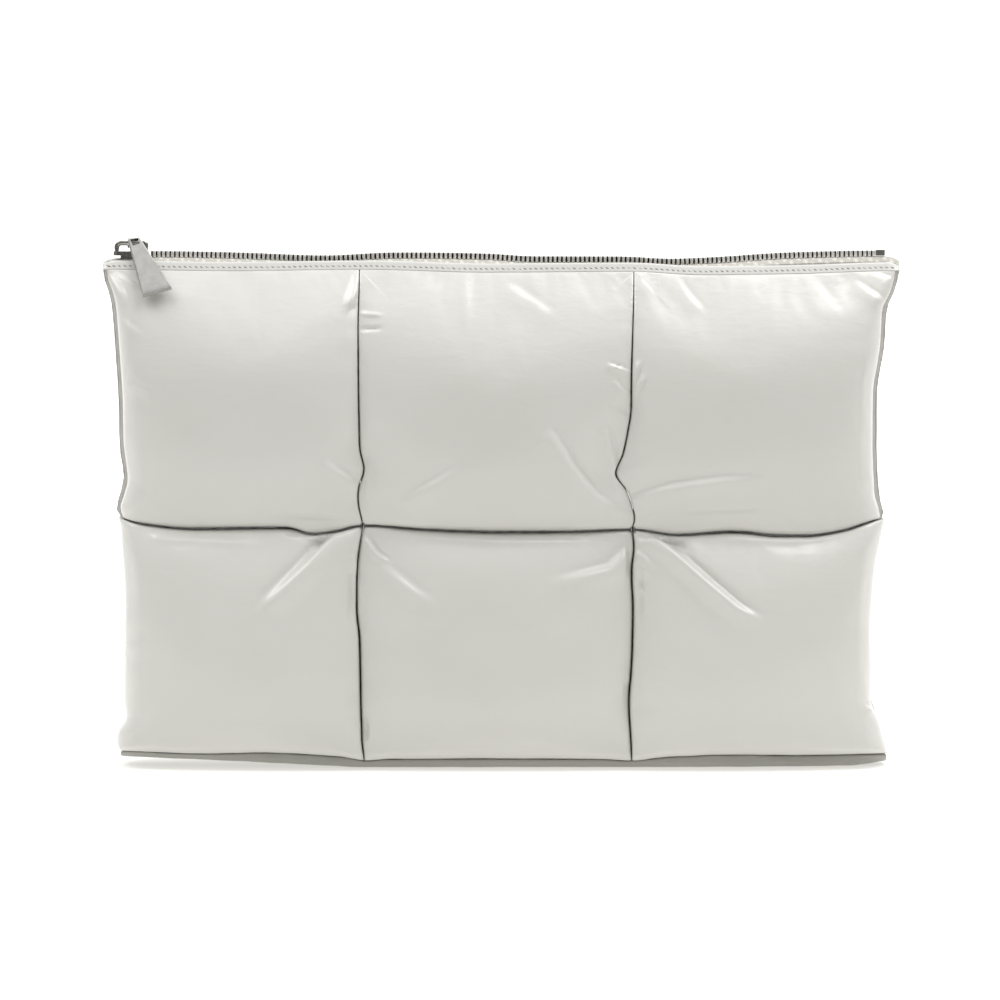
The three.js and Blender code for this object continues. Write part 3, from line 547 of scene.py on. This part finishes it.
# %% Fold table
# Each row is a path, a width, a height and a hollow. The path is in millimetres across and up the front.
# The width is the half width of the fold's steep side, and the height is positive for a ridge. The hollow is
# the share of the valley beside the steep side, which is on the left of the way from start to end where it
# is positive, and on the right where it is negative.
FOLDS = {
    "bottom_left": [
        ([(-70, 103), (-86, 87.4), (-103, 71)], 3.0, 2.4, -0.35),
        ([(-74, 106), (-79, 101), (-83, 97)], 2.0, -2.2, 0),
        ([(-92, 104), (-80, 103.4), (-70, 104)], 1.4, -2.0, 0),
        ([(-65, 92), (-64.4, 89), (-63.5, 85)], 1.5, 1.5, 0),
        ([(-65.6, 84), (-65.6, 66)], 1.1, -0.9, 0),
        ([(-150, 101), (-128, 100), (-108, 99)], 1.8, 0.6, 0),
    ],
    "bottom_middle": [
        ([(56, 95), (47.6, 87), (25, 82)], 2.6, 1.5, -0.35),
        ([(-35, 101.4), (0, 99.4), (36, 100)], 1.5, 0.8, 0),
        ([(-59, 100), (-54, 94), (-49, 91)], 1.0, 1.1, 0.4),
        ([(-51, 88), (-40, 79), (-31, 73)], 2.2, 1.0, 0.25),
        ([(55.6, 96), (56.2, 84)], 1.3, -2.0, 0),
        ([(55.2, 36), (56, 22)], 1.3, -1.7, 0),
        ([(-60, 21), (-59.4, 13)], 1.3, -1.7, 0),
    ],
    "bottom_right": [
        ([(66, 101), (76, 94), (90, 82), (103, 71), (110, 67)], 2.1, 2.5, 0.4),
        ([(60, 104), (68, 103), (75, 101), (81, 96.4)], 1.8, -2.8, 0),
        ([(82, 103), (94, 103.2)], 1.2, -1.6, 0),
        ([(58.6, 95), (62, 93), (65, 89)], 1.5, 0.8, 0.3),
        ([(59, 89), (64, 84)], 1.3, 0.6, 0.3),
        ([(59.2, 81), (61.6, 76)], 1.2, 0.5, 0.3),
        ([(61.2, 87), (60.6, 66)], 1.1, -0.9, 0),
        ([(159.6, 27), (163.4, 24)], 0.9, 0.8, 0.3),
        ([(100, 101), (124, 100), (146, 103)], 1.8, 0.6, 0),
    ],
    "top_left": [
        ([(-76, 133), (-69, 128), (-62, 122)], 2.0, 1.2, 0.25),
        ([(-61.4, 215), (-64, 208), (-67.4, 201)], 1.1, 1.2, 0.4),
        ([(-63, 205), (-66, 202)], 1.0, 0.7, 0.3),
        ([(-98, 111), (-83, 110.6), (-68, 109)], 1.2, -0.45, 0),
        ([(-171, 214), (-166, 208), (-164, 202)], 1.8, 0.6, 0.4),
        ([(-168, 216), (-160, 211)], 1.2, 0.5, 0.4),
        ([(-166, 196), (-158, 190)], 1.6, 0.35, 0.3),
        ([(-164, 170), (-152, 166)], 1.6, 0.3, 0.3),
    ],
    "top_middle": [
        ([(22, 145), (31, 130), (40, 119), (50, 113)], 2.4, 1.6, 0.35),
        ([(46, 147), (49.4, 132), (55, 119)], 1.4, 1.3, 0.35),
        ([(-57.8, 132), (-57.4, 118)], 1.8, 1.2, 0),
        ([(-40, 118), (-28, 125), (-17, 132)], 2.3, 1.2, 0.25),
        ([(4, 209), (12, 204), (22, 197)], 2.4, 0.35, 0.3),
        ([(-16, 211), (-15, 191)], 2.6, 0.25, 0),
        ([(-60.4, 199), (-52, 198.4)], 0.8, 0.6, 0),
        ([(-60.4, 192.6), (-52, 193)], 0.8, -0.6, 0),
        ([(47, 177), (56, 174)], 0.8, 0.8, 0.4),
        ([(50, 169), (56, 163)], 0.8, 0.8, 0.4),
        ([(49, 158), (55, 154)], 0.8, 0.6, 0.4),
    ],
    "top_right": [
        ([(58, 118), (74, 123), (94, 126), (112, 127)], 2.0, 1.3, 0.3),
        ([(78, 211), (82, 205), (87, 200)], 1.8, 0.35, 0.3),
        ([(135, 213), (140, 206), (147, 198)], 2.6, 0.22, 0.3),
        ([(157, 210), (163, 206), (168, 203)], 1.7, 0.6, 0.4),
        ([(163, 216), (171, 213)], 1.4, 0.5, 0.4),
        ([(60, 177), (57.6, 168)], 0.8, 0.8, 0.4),
        ([(62, 171), (58, 164)], 0.8, 0.6, 0.4),
        ([(80, 113), (104, 113.6), (116, 115)], 1.2, -0.4, 0),
    ],
}


FOLD_RISE = 1.35
GENTLE_SIDE = 2.4  # the other side of a fold is so many times as wide as its steep side


def fold_shape(places, fold):
    """How far a fold lifts each point, in metres."""
    path, width, height, hollow = fold
    line = np.array(path, float) * MM
    here, there = np.linspace(0, 1, 60), np.linspace(0, 1, len(line))
    fine = np.stack([np.interp(here, there, line[:, k]) for k in (0, 1)], axis=1)
    for _ in range(8):
        fine[1:-1] = (fine[:-2] + fine[1:-1] + fine[2:]) / 3
    way = np.gradient(fine, axis=0)
    way /= np.linalg.norm(way, axis=1)[:, None]
    offset = places[:, None, [0, 2]] - fine[None]
    nearest = np.linalg.norm(offset, axis=2).argmin(axis=1)
    rows = np.arange(len(places))
    near = offset[rows, nearest]
    aside = way[nearest, 0] * near[:, 1] - way[nearest, 1] * near[:, 0]
    ahead = way[nearest, 0] * near[:, 0] + way[nearest, 1] * near[:, 1]
    share = nearest / (len(fine) - 1)
    width *= MM
    taper = np.sin(math.pi * (0.14 + 0.83 * share)) ** 0.7 * np.exp(-((ahead / (1.5 * width)) ** 2))
    if hollow:
        side = math.copysign(1, hollow)
        lift = np.exp(-((aside / np.where(aside * side > 0, width, GENTLE_SIDE * width)) ** 2))
        lift = lift - abs(hollow) * np.exp(-(((aside - side * 1.5 * width) / (0.7 * width)) ** 2))
    else:
        lift = np.exp(-((aside / width) ** 2))
    return FOLD_RISE * height * MM * taper * lift


# %% Shape the folds
PUCKER_HEIGHT = 0.5 * MM
PUCKER_REACH = 9 * MM
PUCKER_PITCH = 7.5 * MM
WAVE_HEIGHT = 0.22 * MM
LAP_REACH = 1.2 * MM  # a full pad hangs over its sewn edge and touches its neighbour
UPRIGHT_LAP, LEVEL_LAP = 0.13 * MM, 0.35 * MM  # a little less than half the gap between two squares
RIM_THICKNESS = 3.6 * MM


def wave(places, pitch, seed):
    """Soft noise between -1 and 1, the same in each run."""
    shift = Vector((seed * 3.7, seed * 1.3, seed * 5.1))
    return np.array([noise.noise(Vector(p) / pitch + shift) for p in places])


def fold_pad(key):
    wall, square = key
    pad = pads[key]
    pad.modifiers.new("finer", "SUBSURF").levels = 1
    pad.modifiers["finer"].render_levels = 1
    pad.modifiers["finer"].boundary_smooth = "PRESERVE_CORNERS"
    apply_modifiers(pad)
    places, outward_way = vertices_of(pad), normals_of(pad)
    room, order, rim, side = seam_distance(places, sewn[key])
    rim = rim[:, [0, 2]]
    seed = 1 + 6 * (wall == "back") + SQUARES.index(square)
    gathers = wave(np.stack([order, np.zeros_like(order), room * 0.25], axis=1), PUCKER_PITCH, seed)
    rise = PUCKER_HEIGHT * gathers * np.exp(-room / PUCKER_REACH) * (1 - np.exp(-room / (2 * MM)))
    rise += WAVE_HEIGHT * wave(places, 32 * MM, seed + 40) * (1 - np.exp(-room / (8 * MM)))
    if wall == "front":
        for fold in FOLDS[square]:
            rise += fold_shape(places, fold) * (1 - np.exp(-((room / (1.2 * MM)) ** 2)))
    places = places + outward_way * rise[:, None]
    over = rim - places[:, [0, 2]]
    low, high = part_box(f"{wall}_panel_{square}")
    laps = [LEVEL_LAP if square.startswith("top") else -1,
            UPRIGHT_LAP if high.x < cad_high.x - 20 * MM else -1,
            LEVEL_LAP if square.startswith("bottom") else -1,
            UPRIGHT_LAP if low.x > cad_low.x + 20 * MM else -1]
    lap_here = np.array(laps)[side]
    lap = np.exp(-((room / LAP_REACH) ** 2)) * (1 - np.exp(-((room / (0.3 * MM)) ** 2))) * (lap_here >= 0)
    stretch = (room + np.maximum(lap_here, 0)) / np.maximum(room, 0.05 * MM)
    places[:, [0, 2]] += over * (stretch * lap)[:, None]
    put_vertices(pad, places)


for key in pads:
    fold_pad(key)
print("folds:", sum(len(rows) for rows in FOLDS.values()))

# %% [markdown]
# ### Closing the pads
# Behind its sewn edge a pad goes straight back to the pocket's lining. The open edge is extruded by the
# thickness of the sewn wall and closed with a face, so the pad is a closed form with a soft crown.

# %% Close the pads
def close_pad(key):
    wall, square = key
    pad = pick(pads[key])
    bpy.ops.object.mode_set(mode="EDIT")
    bpy.ops.mesh.select_all(action="DESELECT")
    bpy.ops.mesh.select_non_manifold()
    bpy.ops.mesh.extrude_edges_move(TRANSFORM_OT_translate={"value": (0, -WALLS[wall] * RIM_THICKNESS, 0)})
    bpy.ops.mesh.fill()
    bpy.ops.mesh.select_all(action="SELECT")
    bpy.ops.mesh.normals_make_consistent(inside=False)
    bpy.ops.object.mode_set(mode="OBJECT")
    bpy.ops.object.shade_smooth_by_angle(angle=math.radians(50))
    dress(pad, pad.name, LEATHER, replaced=[f"{wall}_panel_{square}"])


for key in pads:
    close_pad(key)
print("pads closed:", len(pads))

# %% [markdown]
# ## The bottom fold and the side seams
# Under the pouch one strip of leather joins the two walls, and at the sides the walls are sewn edge to
# edge. Both are folded leather; the bottom strip is coloured darker as painted shade, and the upper sides
# carry a thin painted shadow line. Their CAD nodes are copied, remeshed to an even fine skin and
# smoothed, which rounds the edges as a folded skin is rounded.

# %% Bottom fold and side seams
def soft_copy(node, name, voxel, smoothing, material):
    piece = copy_of_node(node)
    pick(piece)
    piece.data.remesh_voxel_size = voxel
    piece.data.remesh_voxel_adaptivity = 0
    bpy.ops.object.voxel_remesh()
    smooth = piece.modifiers.new("round", "SMOOTH")
    smooth.iterations = smoothing
    smooth.factor = 0.5
    apply_modifiers(piece)
    places, outward_way = vertices_of(piece), normals_of(piece)
    places = places + outward_way * (0.12 * MM * wave(places, 9 * MM, 71))[:, None]
    places[:, 2] = np.maximum(places[:, 2], 0)
    put_vertices(piece, places)
    bpy.ops.object.shade_smooth()
    return dress(piece, name, material, replaced=[node])


soft_copy("bottom_fold", "leather_bottom_fold", 0.9 * MM, 4, SHADED_FOOT_LEATHER)
# Painted shade: a thin dark line along the outermost edge of the upper side seams stands for the shadow gap
# where the strips wrap round to the back.
SHADE_LINE_WIDTH = 0.4 * MM
SHADE_LINE_FOOT = 103 * MM  # only the upper squares get the painted shadow line
for hand in ("left", "right"):
    seam = soft_copy(f"side_seam_{hand}", f"leather_side_seam_{hand}", 0.6 * MM, 3,
                     EDGE_LEATHER)
    places = vertices_of(seam)
    band = np.rint(places[:, 2] / (2 * MM)).astype(int)
    reach = np.zeros(band.max() + 1)
    np.maximum.at(reach, band, abs(places[:, 0]))
    reach = np.interp(places[:, 2], np.arange(len(reach)) * 2 * MM, reach)
    side_shade_mask = np.clip(1 - (reach - abs(places[:, 0]) - SHADE_LINE_WIDTH) / (0.3 * MM), 0, 1)
    side_shade_mask *= places[:, 2] > SHADE_LINE_FOOT
    mark = seam.data.attributes.new("painted_side_shade", "FLOAT", "POINT")
    mark.data.foreach_set("value", side_shade_mask.astype(np.float32))

# %% [markdown]
# ## The leather edge and the tape along the zip
# The top edge of each wall is folded in and stitched to the zip tape. The tape runs up from there to the
# teeth. Both are long thin strips that follow the gentle waves of the zip, so each is a grid laid along
# the line of its CAD node, with the strip's cross-section across it.

# %% Read the lines of the zip
def node_line(node):
    """For a long node along X: the middle and half sizes of its cross-section at each X, in metres."""
    places = np.array([v.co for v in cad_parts[node].data.vertices])
    stations = np.unique(np.round(places[:, 0], 4))
    rows = []
    for x in stations:
        here = places[abs(places[:, 0] - x) < 0.06 * MM]
        if len(here) > 2:
            rows.append((x, *here[:, 1:].min(axis=0), *here[:, 1:].max(axis=0)))
    return np.array(rows)


chain_rows = node_line("zip_chain")
binding_rows = {wall: node_line(f"top_binding_{wall}") for wall in WALLS}
tape_rows = {wall: node_line(f"zip_tape_{wall}") for wall in WALLS}
print("zip lines:", len(chain_rows), [len(r) for r in binding_rows.values()],
      [len(r) for r in tape_rows.values()])


# %% A strip with a closed cross-section
def strip(name, stations, ring, material, replaced=()):
    """A grid rolled round the cross-section that ring gives at each station, and closed at its two ends."""
    count = len(ring(stations[0]))
    deselect_all()
    bpy.ops.mesh.primitive_grid_add(x_subdivisions=len(stations) - 1, y_subdivisions=count, size=1)
    piece = bpy.context.object
    flat = vertices_of(piece)
    i = np.rint((flat[:, 0] + 0.5) * (len(stations) - 1)).astype(int)
    j = np.rint((flat[:, 1] + 0.5) * count).astype(int) % count
    rings = np.array([ring(x) for x in stations])
    put_vertices(piece, rings[i, j])
    pick(piece)
    bpy.ops.object.mode_set(mode="EDIT")
    bpy.ops.mesh.select_all(action="SELECT")
    bpy.ops.mesh.remove_doubles(threshold=0.001 * MM)
    bpy.ops.mesh.select_all(action="DESELECT")
    bpy.ops.mesh.select_non_manifold()
    bpy.ops.mesh.fill_holes(sides=0)
    bpy.ops.mesh.select_all(action="SELECT")
    bpy.ops.mesh.normals_make_consistent(inside=False)
    bpy.ops.object.mode_set(mode="OBJECT")
    bpy.ops.object.shade_smooth_by_angle(angle=math.radians(45))
    return dress(piece, name, material, replaced=replaced)


def at(rows, x, column):
    return float(np.interp(x, rows[:, 0], rows[:, column]))


# %% Leather binding and zip tape
HEAD_SQUARE, FOOT_SQUARE = 0.42, 0.12  # 1 is a round edge, 0 a square one
BINDING_LEAN = 2.0 * MM  # its head leans in towards the teeth
STITCH_LEVEL = 0.3  # of the binding's height
STITCH_DIP = 0.35 * MM  # how far the thread pulls the leather in
BINDING_TUCK = 0.3 * MM  # how far its foot goes down to touch the wall
TAPE_TUCK = 0.2 * MM  # how far the tape's inner edge lies under the legs of the teeth
TAPE_REACH = 1.3 * MM  # and how far it goes in under them
END_REACH = 6 * MM  # the crumpled ends of tape and leather
END_DROOP = 1.6 * MM
END_CRUMPLE = 0.5 * MM
TAPE_STATIONS = 320


def crumple(x, ends, seed):
    """How far a loose end of the strip hangs down and waves at x."""
    loose = max(0.0, 1 - min(x - ends[0], ends[1] - x) / END_REACH)
    shake = noise.noise(Vector((x / (2.3 * MM), seed, 0.4)))
    return loose**2 * END_DROOP + math.sqrt(loose) * END_CRUMPLE * shake


def binding_ring(wall):
    rows, outward = binding_rows[wall], WALLS[wall]

    def ring(x):
        low_y, low_z, high_y, high_z = (at(rows, x, c) for c in (1, 2, 3, 4))
        middle_y, middle_z = (low_y + high_y) / 2, (low_z + high_z) / 2
        half_y, half_z = (high_y - low_y) / 2, (high_z - low_z) / 2
        points = []
        for k in range(32):
            turn = 2 * math.pi * k / 32
            c, s = math.cos(turn), math.sin(turn)
            square = HEAD_SQUARE if s > 0 else FOOT_SQUARE
            y = middle_y + half_y * math.copysign(abs(c) ** square, c)
            z = middle_z + half_z * math.copysign(abs(s) ** square, s)
            if s < 0:
                z += s * BINDING_TUCK
            if (y - middle_y) * outward > 0:
                from_stitch = (z - low_z) / (high_z - low_z) - STITCH_LEVEL
                y -= outward * STITCH_DIP * math.exp(-(from_stitch / 0.12) ** 2)
            y -= outward * BINDING_LEAN * max(0.0, (z - low_z) / (high_z - low_z))
            points.append((x, y, z - crumple(x, rows[[0, -1], 0], 3 + k / 9) * (s > 0)))
        return points

    return ring


def tape_ring(wall):
    rows = tape_rows[wall]
    outward = WALLS[wall]

    def ring(x):
        low_y, low_z, high_y, high_z = (at(rows, x, c) for c in (1, 2, 3, 4))
        inner, outer = (high_y, low_y) if outward < 0 else (low_y, high_y)
        thick = 0.45 * MM
        points = []
        inner -= outward * TAPE_REACH
        high_z -= TAPE_TUCK
        droop = crumple(x, rows[[0, -1], 0], 7)
        for k in range(9):
            t = k / 8
            fall = (high_z - low_z - 2 * thick) * t**1.5
            points.append((x, inner + (outer - inner) * t, high_z - droop - fall))
        under = [(px, py, pz - 2 * thick) for px, py, pz in reversed(points)]
        return points + under

    return ring


for wall in WALLS:
    ends = binding_rows[wall][[0, -1], 0]
    strip(f"leather_binding_{wall}", np.linspace(*ends, TAPE_STATIONS), binding_ring(wall),
          EDGE_LEATHER, [f"top_binding_{wall}"])
    ends = tape_rows[wall][[0, -1], 0]
    strip(f"woven_zip_tape_{wall}", np.linspace(*ends, TAPE_STATIONS), tape_ring(wall),
          TAPE, [f"zip_tape_{wall}"])

# %% Folded ends of the tape
PLUG_HALF_DEPTH = 5.3 * MM
PLUG_FOOT, PLUG_HEAD = 213.4 * MM, {"left": 222.4 * MM, "right": 221.6 * MM}
PLUG_ENDS = {"left": (-173.8 * MM, -170.1 * MM), "right": (168.9 * MM, 173.4 * MM)}


def plug_ring(hand):
    middle, half = (PLUG_FOOT + PLUG_HEAD[hand]) / 2, (PLUG_HEAD[hand] - PLUG_FOOT) / 2
    start, end = PLUG_ENDS[hand]

    def ring(x):
        swell = math.sqrt(max(0.15, 1 - (2 * (x - start) / (end - start) - 1) ** 4))
        points = []
        for k in range(40):
            turn = 2 * math.pi * k / 40
            c, s = math.cos(turn), math.sin(turn)
            shake = 1 + 0.12 * noise.noise(Vector((x / (1.6 * MM), 2.2 * c, 2.2 * s)))
            points.append((x, PLUG_HALF_DEPTH * min(1, swell * shake) * math.copysign(abs(c) ** 0.5, c),
                           middle + half * swell * shake * math.copysign(abs(s) ** 0.6, s)))
        return points

    return ring


for hand, ends in PLUG_ENDS.items():
    strip(f"folded_tape_end_{hand}", np.linspace(*ends, 20), plug_ring(hand), TAPE)

# %% [markdown]
# ## Stitches
# The leather edge is sewn to the tape with a row of slanting lockstitches. One stitch is a short piece of
# thread whose two ends dive into the leather. It is modelled once and copied along the binding.

# %% One stitch, copied along the binding
STITCH_PITCH = 2.4 * MM
STITCH_LENGTH = 2.2 * MM
THREAD_RADIUS = 0.36 * MM
STITCH_SLANT = math.radians(24)


def copies(master, places, name, material, body="bag", replaced=()):
    """One joined piece of copies of the master, each with a mesh of its own, at each place."""
    made = []
    for place in places:
        one = master.copy()
        one.data = master.data.copy()
        one.data.transform(place)
        bpy.context.collection.objects.link(one)
        made.append(one)
    deselect_all()
    for one in made:
        one.select_set(True)
    bpy.context.view_layer.objects.active = made[0]
    bpy.ops.object.join()
    return dress(made[0], name, material, body, replaced)


deselect_all()
bpy.ops.mesh.primitive_cylinder_add(vertices=8, radius=THREAD_RADIUS, depth=STITCH_LENGTH,
                                    rotation=(0, math.pi / 2, 0))
stitch = bpy.context.object
bpy.ops.object.transform_apply(rotation=True)
bpy.ops.object.mode_set(mode="EDIT")
bpy.ops.mesh.select_all(action="SELECT")
bpy.ops.mesh.bisect(plane_co=(0.5 * MM, 0, 0), plane_no=(1, 0, 0))
bpy.ops.mesh.select_all(action="SELECT")
bpy.ops.mesh.bisect(plane_co=(-0.5 * MM, 0, 0), plane_no=(1, 0, 0))
bpy.ops.object.mode_set(mode="OBJECT")
bent = vertices_of(stitch)
bent[:, 1] += (abs(bent[:, 0]) / (STITCH_LENGTH / 2)) ** 3 * 0.4 * MM
put_vertices(stitch, bent)
bpy.ops.object.shade_smooth()
for wall, outward in WALLS.items():
    rows = binding_rows[wall]
    ends = rows[[0, -1], 0]
    places = []
    for x in np.arange(ends[0] + 3 * MM, ends[1] - 3 * MM, STITCH_PITCH):
        low_y, low_z, high_y, high_z = (at(rows, x, c) for c in (1, 2, 3, 4))
        face = low_y if outward < 0 else high_y
        height = low_z + STITCH_LEVEL * (high_z - low_z)
        turn = Matrix.Rotation(0 if outward < 0 else math.pi, 4, "Z") @ Matrix.Rotation(STITCH_SLANT, 4, "Y")
        face -= outward * (0.25 * MM + STITCH_LEVEL * BINDING_LEAN)
        places.append(Matrix.Translation((x, face, height)) @ turn)
    copies(stitch, places, f"stitches_{wall}", THREAD)
    print("stitches:", wall, len(places))
bpy.data.objects.remove(stitch)

# %% [markdown]
# ## The teeth of the zip
# A metal zip has one row of teeth clamped on each tape, half a pitch apart, so that the head of each tooth
# lies between two of the other row. A tooth is cast as a leg that grips the tape's cord, with a narrower
# head in front. One tooth is shaped from a block and copied along the line of the CAD chain.

# %% One tooth, copied along both tapes
TOOTH_PITCH = 2.0 * MM
TOOTH_WIDTH, TOOTH_DEPTH, TOOTH_HEIGHT = 1.15 * MM, 1.0 * MM, 2.9 * MM
TOOTH_DROP = 0.45 * MM  # the middle of a leg under the middle of the heads
NECK_LENGTH, HEAD_LENGTH = 0.95 * MM, 0.85 * MM
CHAIN_OUTER = 2.55 * MM

deselect_all()
bpy.ops.mesh.primitive_cube_add(size=1, scale=(TOOTH_WIDTH, TOOTH_DEPTH, TOOTH_HEIGHT),
                                location=(0, -CHAIN_OUTER + TOOTH_DEPTH / 2, -TOOTH_DROP))
tooth = bpy.context.object
bpy.ops.object.transform_apply(location=True, scale=True)
bpy.ops.object.mode_set(mode="EDIT")
bpy.ops.mesh.select_mode(type="FACE")
bpy.ops.mesh.select_all(action="DESELECT")
block = bmesh.from_edit_mesh(tooth.data)
for face in block.faces:
    face.select = face.normal.y > 0.9
bmesh.update_edit_mesh(tooth.data)
bpy.ops.mesh.extrude_region_move(TRANSFORM_OT_translate={"value": (0, NECK_LENGTH, TOOTH_DROP)})
bpy.ops.transform.resize(value=(0.6, 1, 0.5))
bpy.ops.mesh.extrude_region_move(TRANSFORM_OT_translate={"value": (0, HEAD_LENGTH, 0)})
bpy.ops.transform.resize(value=(1.25, 1, 1.05))
bpy.ops.mesh.select_all(action="SELECT")
bpy.ops.mesh.bevel(offset=0.36 * MM, segments=2)
bpy.ops.object.mode_set(mode="OBJECT")
bpy.ops.object.shade_smooth_by_angle(angle=math.radians(40))
print("one tooth:", len(tooth.data.polygons), "faces")

chain_start, chain_end = chain_rows[0, 0], chain_rows[-1, 0]
chain_y = float(np.median((chain_rows[:, 1] + chain_rows[:, 3]) / 2))
crest = np.array([chain_rows[abs(chain_rows[:, 0] - x) < 3 * MM, 4].max() for x in chain_rows[:, 0]])
smooth_top = np.convolve(np.pad(crest, 6, mode="edge"), np.ones(13) / 13, mode="valid")
TOP_OVER_MIDDLE = 0.75 * MM


def chain_height(x):
    """The middle of the teeth, read from the crest of the CAD chain."""
    return float(np.interp(x, chain_rows[:, 0], smooth_top)) - TOP_OVER_MIDDLE


places = []
for number, x in enumerate(np.arange(chain_start + 1 * MM, chain_end + 0.6 * MM, TOOTH_PITCH / 2)):
    rise = (chain_height(x + 3 * MM) - chain_height(x - 3 * MM)) / (6 * MM)
    lean = Matrix.Rotation(-math.atan(rise), 4, "Y")
    turn = Matrix.Rotation(0 if number % 2 else math.pi, 4, "Z")
    places.append(Matrix.Translation((x, chain_y, chain_height(x))) @ lean @ turn)
copies(tooth, places, "zip_teeth", TOOTH_NICKEL, replaced=["zip_chain"])
bpy.data.objects.remove(tooth)
print("teeth:", len(places))

# %% [markdown]
# ## Slider, stop and pull tab
# These are die-cast, plated and tumbled, so every edge is a little round and carries a thin bright line.
# The CAD shapes are right, so each is copied, its flat faces are joined again, and its edges are bevelled.

# %% Tumbled metal
def tumbled(node, name, edge, body, material):
    piece = copy_of_node(node)
    pick(piece)
    bpy.ops.object.mode_set(mode="EDIT")
    bpy.ops.mesh.select_all(action="SELECT")
    bpy.ops.mesh.dissolve_limited(angle_limit=math.radians(1))
    bpy.ops.object.mode_set(mode="OBJECT")
    bevel = piece.modifiers.new("tumbled_edge", "BEVEL")
    bevel.width = edge
    bevel.segments = 2
    bevel.limit_method = "ANGLE"
    bevel.angle_limit = math.radians(28)
    bevel.harden_normals = False
    apply_modifiers(piece)
    bpy.ops.object.shade_smooth_by_angle(angle=math.radians(35))
    flat = piece.modifiers.new("flat_faces", "WEIGHTED_NORMAL")
    flat.weight = 100
    flat.keep_sharp = True
    apply_modifiers(piece)
    return dress(piece, name, material, body, [node])


tumbled("zip_slider", "nickel_slider", 0.22 * MM, "bag", SHADED_NICKEL)
WIRE_FOOT, WIRE_GROWTH = 226.4 * MM, 0.3 * MM  # the plated bridge is a little thicker than its CAD wire
slider = bpy.data.objects["nickel_slider"]
places, outward_way = vertices_of(slider), normals_of(slider)
share = np.clip((places[:, 2] - WIRE_FOOT) / (1 * MM), 0, 1)
put_vertices(slider, places + outward_way * (WIRE_GROWTH * share)[:, None])
tumbled("zip_end_stop", "nickel_end_stop", 0.25 * MM, "bag", NICKEL)
tumbled("pull_tab", "nickel_pull_tab", 0.22 * MM, "pull_tab", NICKEL)

# %% [markdown]
# ## Floor and light
# The photograph is lit as in a shop's light box: two soft lights above, a white wall behind, darker flags
# at the two sides that draw the outline of the pouch, and a lit white table that fills the shadows.

# %% Floor
FLOOR_WIDTH, FLOOR_FRONT, FLOOR_BACK = 3.0, -0.9, 0.6
deselect_all()
bpy.ops.mesh.primitive_plane_add(size=1, location=(0, (FLOOR_FRONT + FLOOR_BACK) / 2, 0))
floor = bpy.context.object
bpy.ops.transform.resize(value=(FLOOR_WIDTH, FLOOR_BACK - FLOOR_FRONT, 1))
bpy.ops.object.transform_apply(location=True, scale=True)
floor.name = "studio_floor"
floor_material, floor_shader = new_material("lit_white_table", Roughness=0.9, Specular_IOR_Level=0.2)
floor_shader.inputs["Base Color"].default_value = linear("#bcbcbb")
floor_shader.inputs["Emission Color"].default_value = linear("#fffdf8")
floor_shader.inputs["Emission Strength"].default_value = 0.5
floor.data.materials.append(floor_material)

# %% Lights
def soft_light(name, place, aim, size, power):
    deselect_all()
    bpy.ops.object.light_add(type="AREA", location=place)
    light = bpy.context.object
    light.name = name
    light.data.shape = "RECTANGLE"
    light.data.size, light.data.size_y = size, size
    light.data.energy = power
    light.rotation_euler = (Vector(aim) - Vector(place)).to_track_quat("-Z", "Y").to_euler()
    return light


soft_light("top_softbox_right", (0.62, -0.2, 1.3), (0.05, 0, 0.1), 1.0, 13)
soft_light("top_softbox_left", (-0.85, -0.2, 1.3), (-0.05, 0, 0.1), 0.9, 9.5)
world = bpy.data.worlds.new("white_box")
bpy.context.scene.world = world
world.use_nodes = True
way = add(world, "ShaderNodeTexCoord")
split = add(world, "ShaderNodeSeparateXYZ", None, {"Vector": (way, "Generated")})
depth = add(world, "ShaderNodeMapRange", {"From Min": -1.0, "From Max": 0.4, "To Min": 0.17, "To Max": 1.5},
            {"Value": (split, "Y")})
aside = add(world, "ShaderNodeMath", {"operation": "ABSOLUTE"}, {0: (split, "X")})
flags = add(world, "ShaderNodeMapRange", {"From Min": 0.35, "From Max": 1.0, "To Min": 1.0, "To Max": 0.3},
            {"Value": (aside, "Value")})
strength = add(world, "ShaderNodeMath", {"operation": "MULTIPLY"},
               {0: (depth, "Result"), 1: (flags, "Result")})
world.node_tree.nodes["Background"].inputs["Color"].default_value = linear("#ffffff")
world.node_tree.links.new(strength.outputs["Value"], world.node_tree.nodes["Background"].inputs["Strength"])
bpy.context.scene.view_settings.view_transform = "Standard"
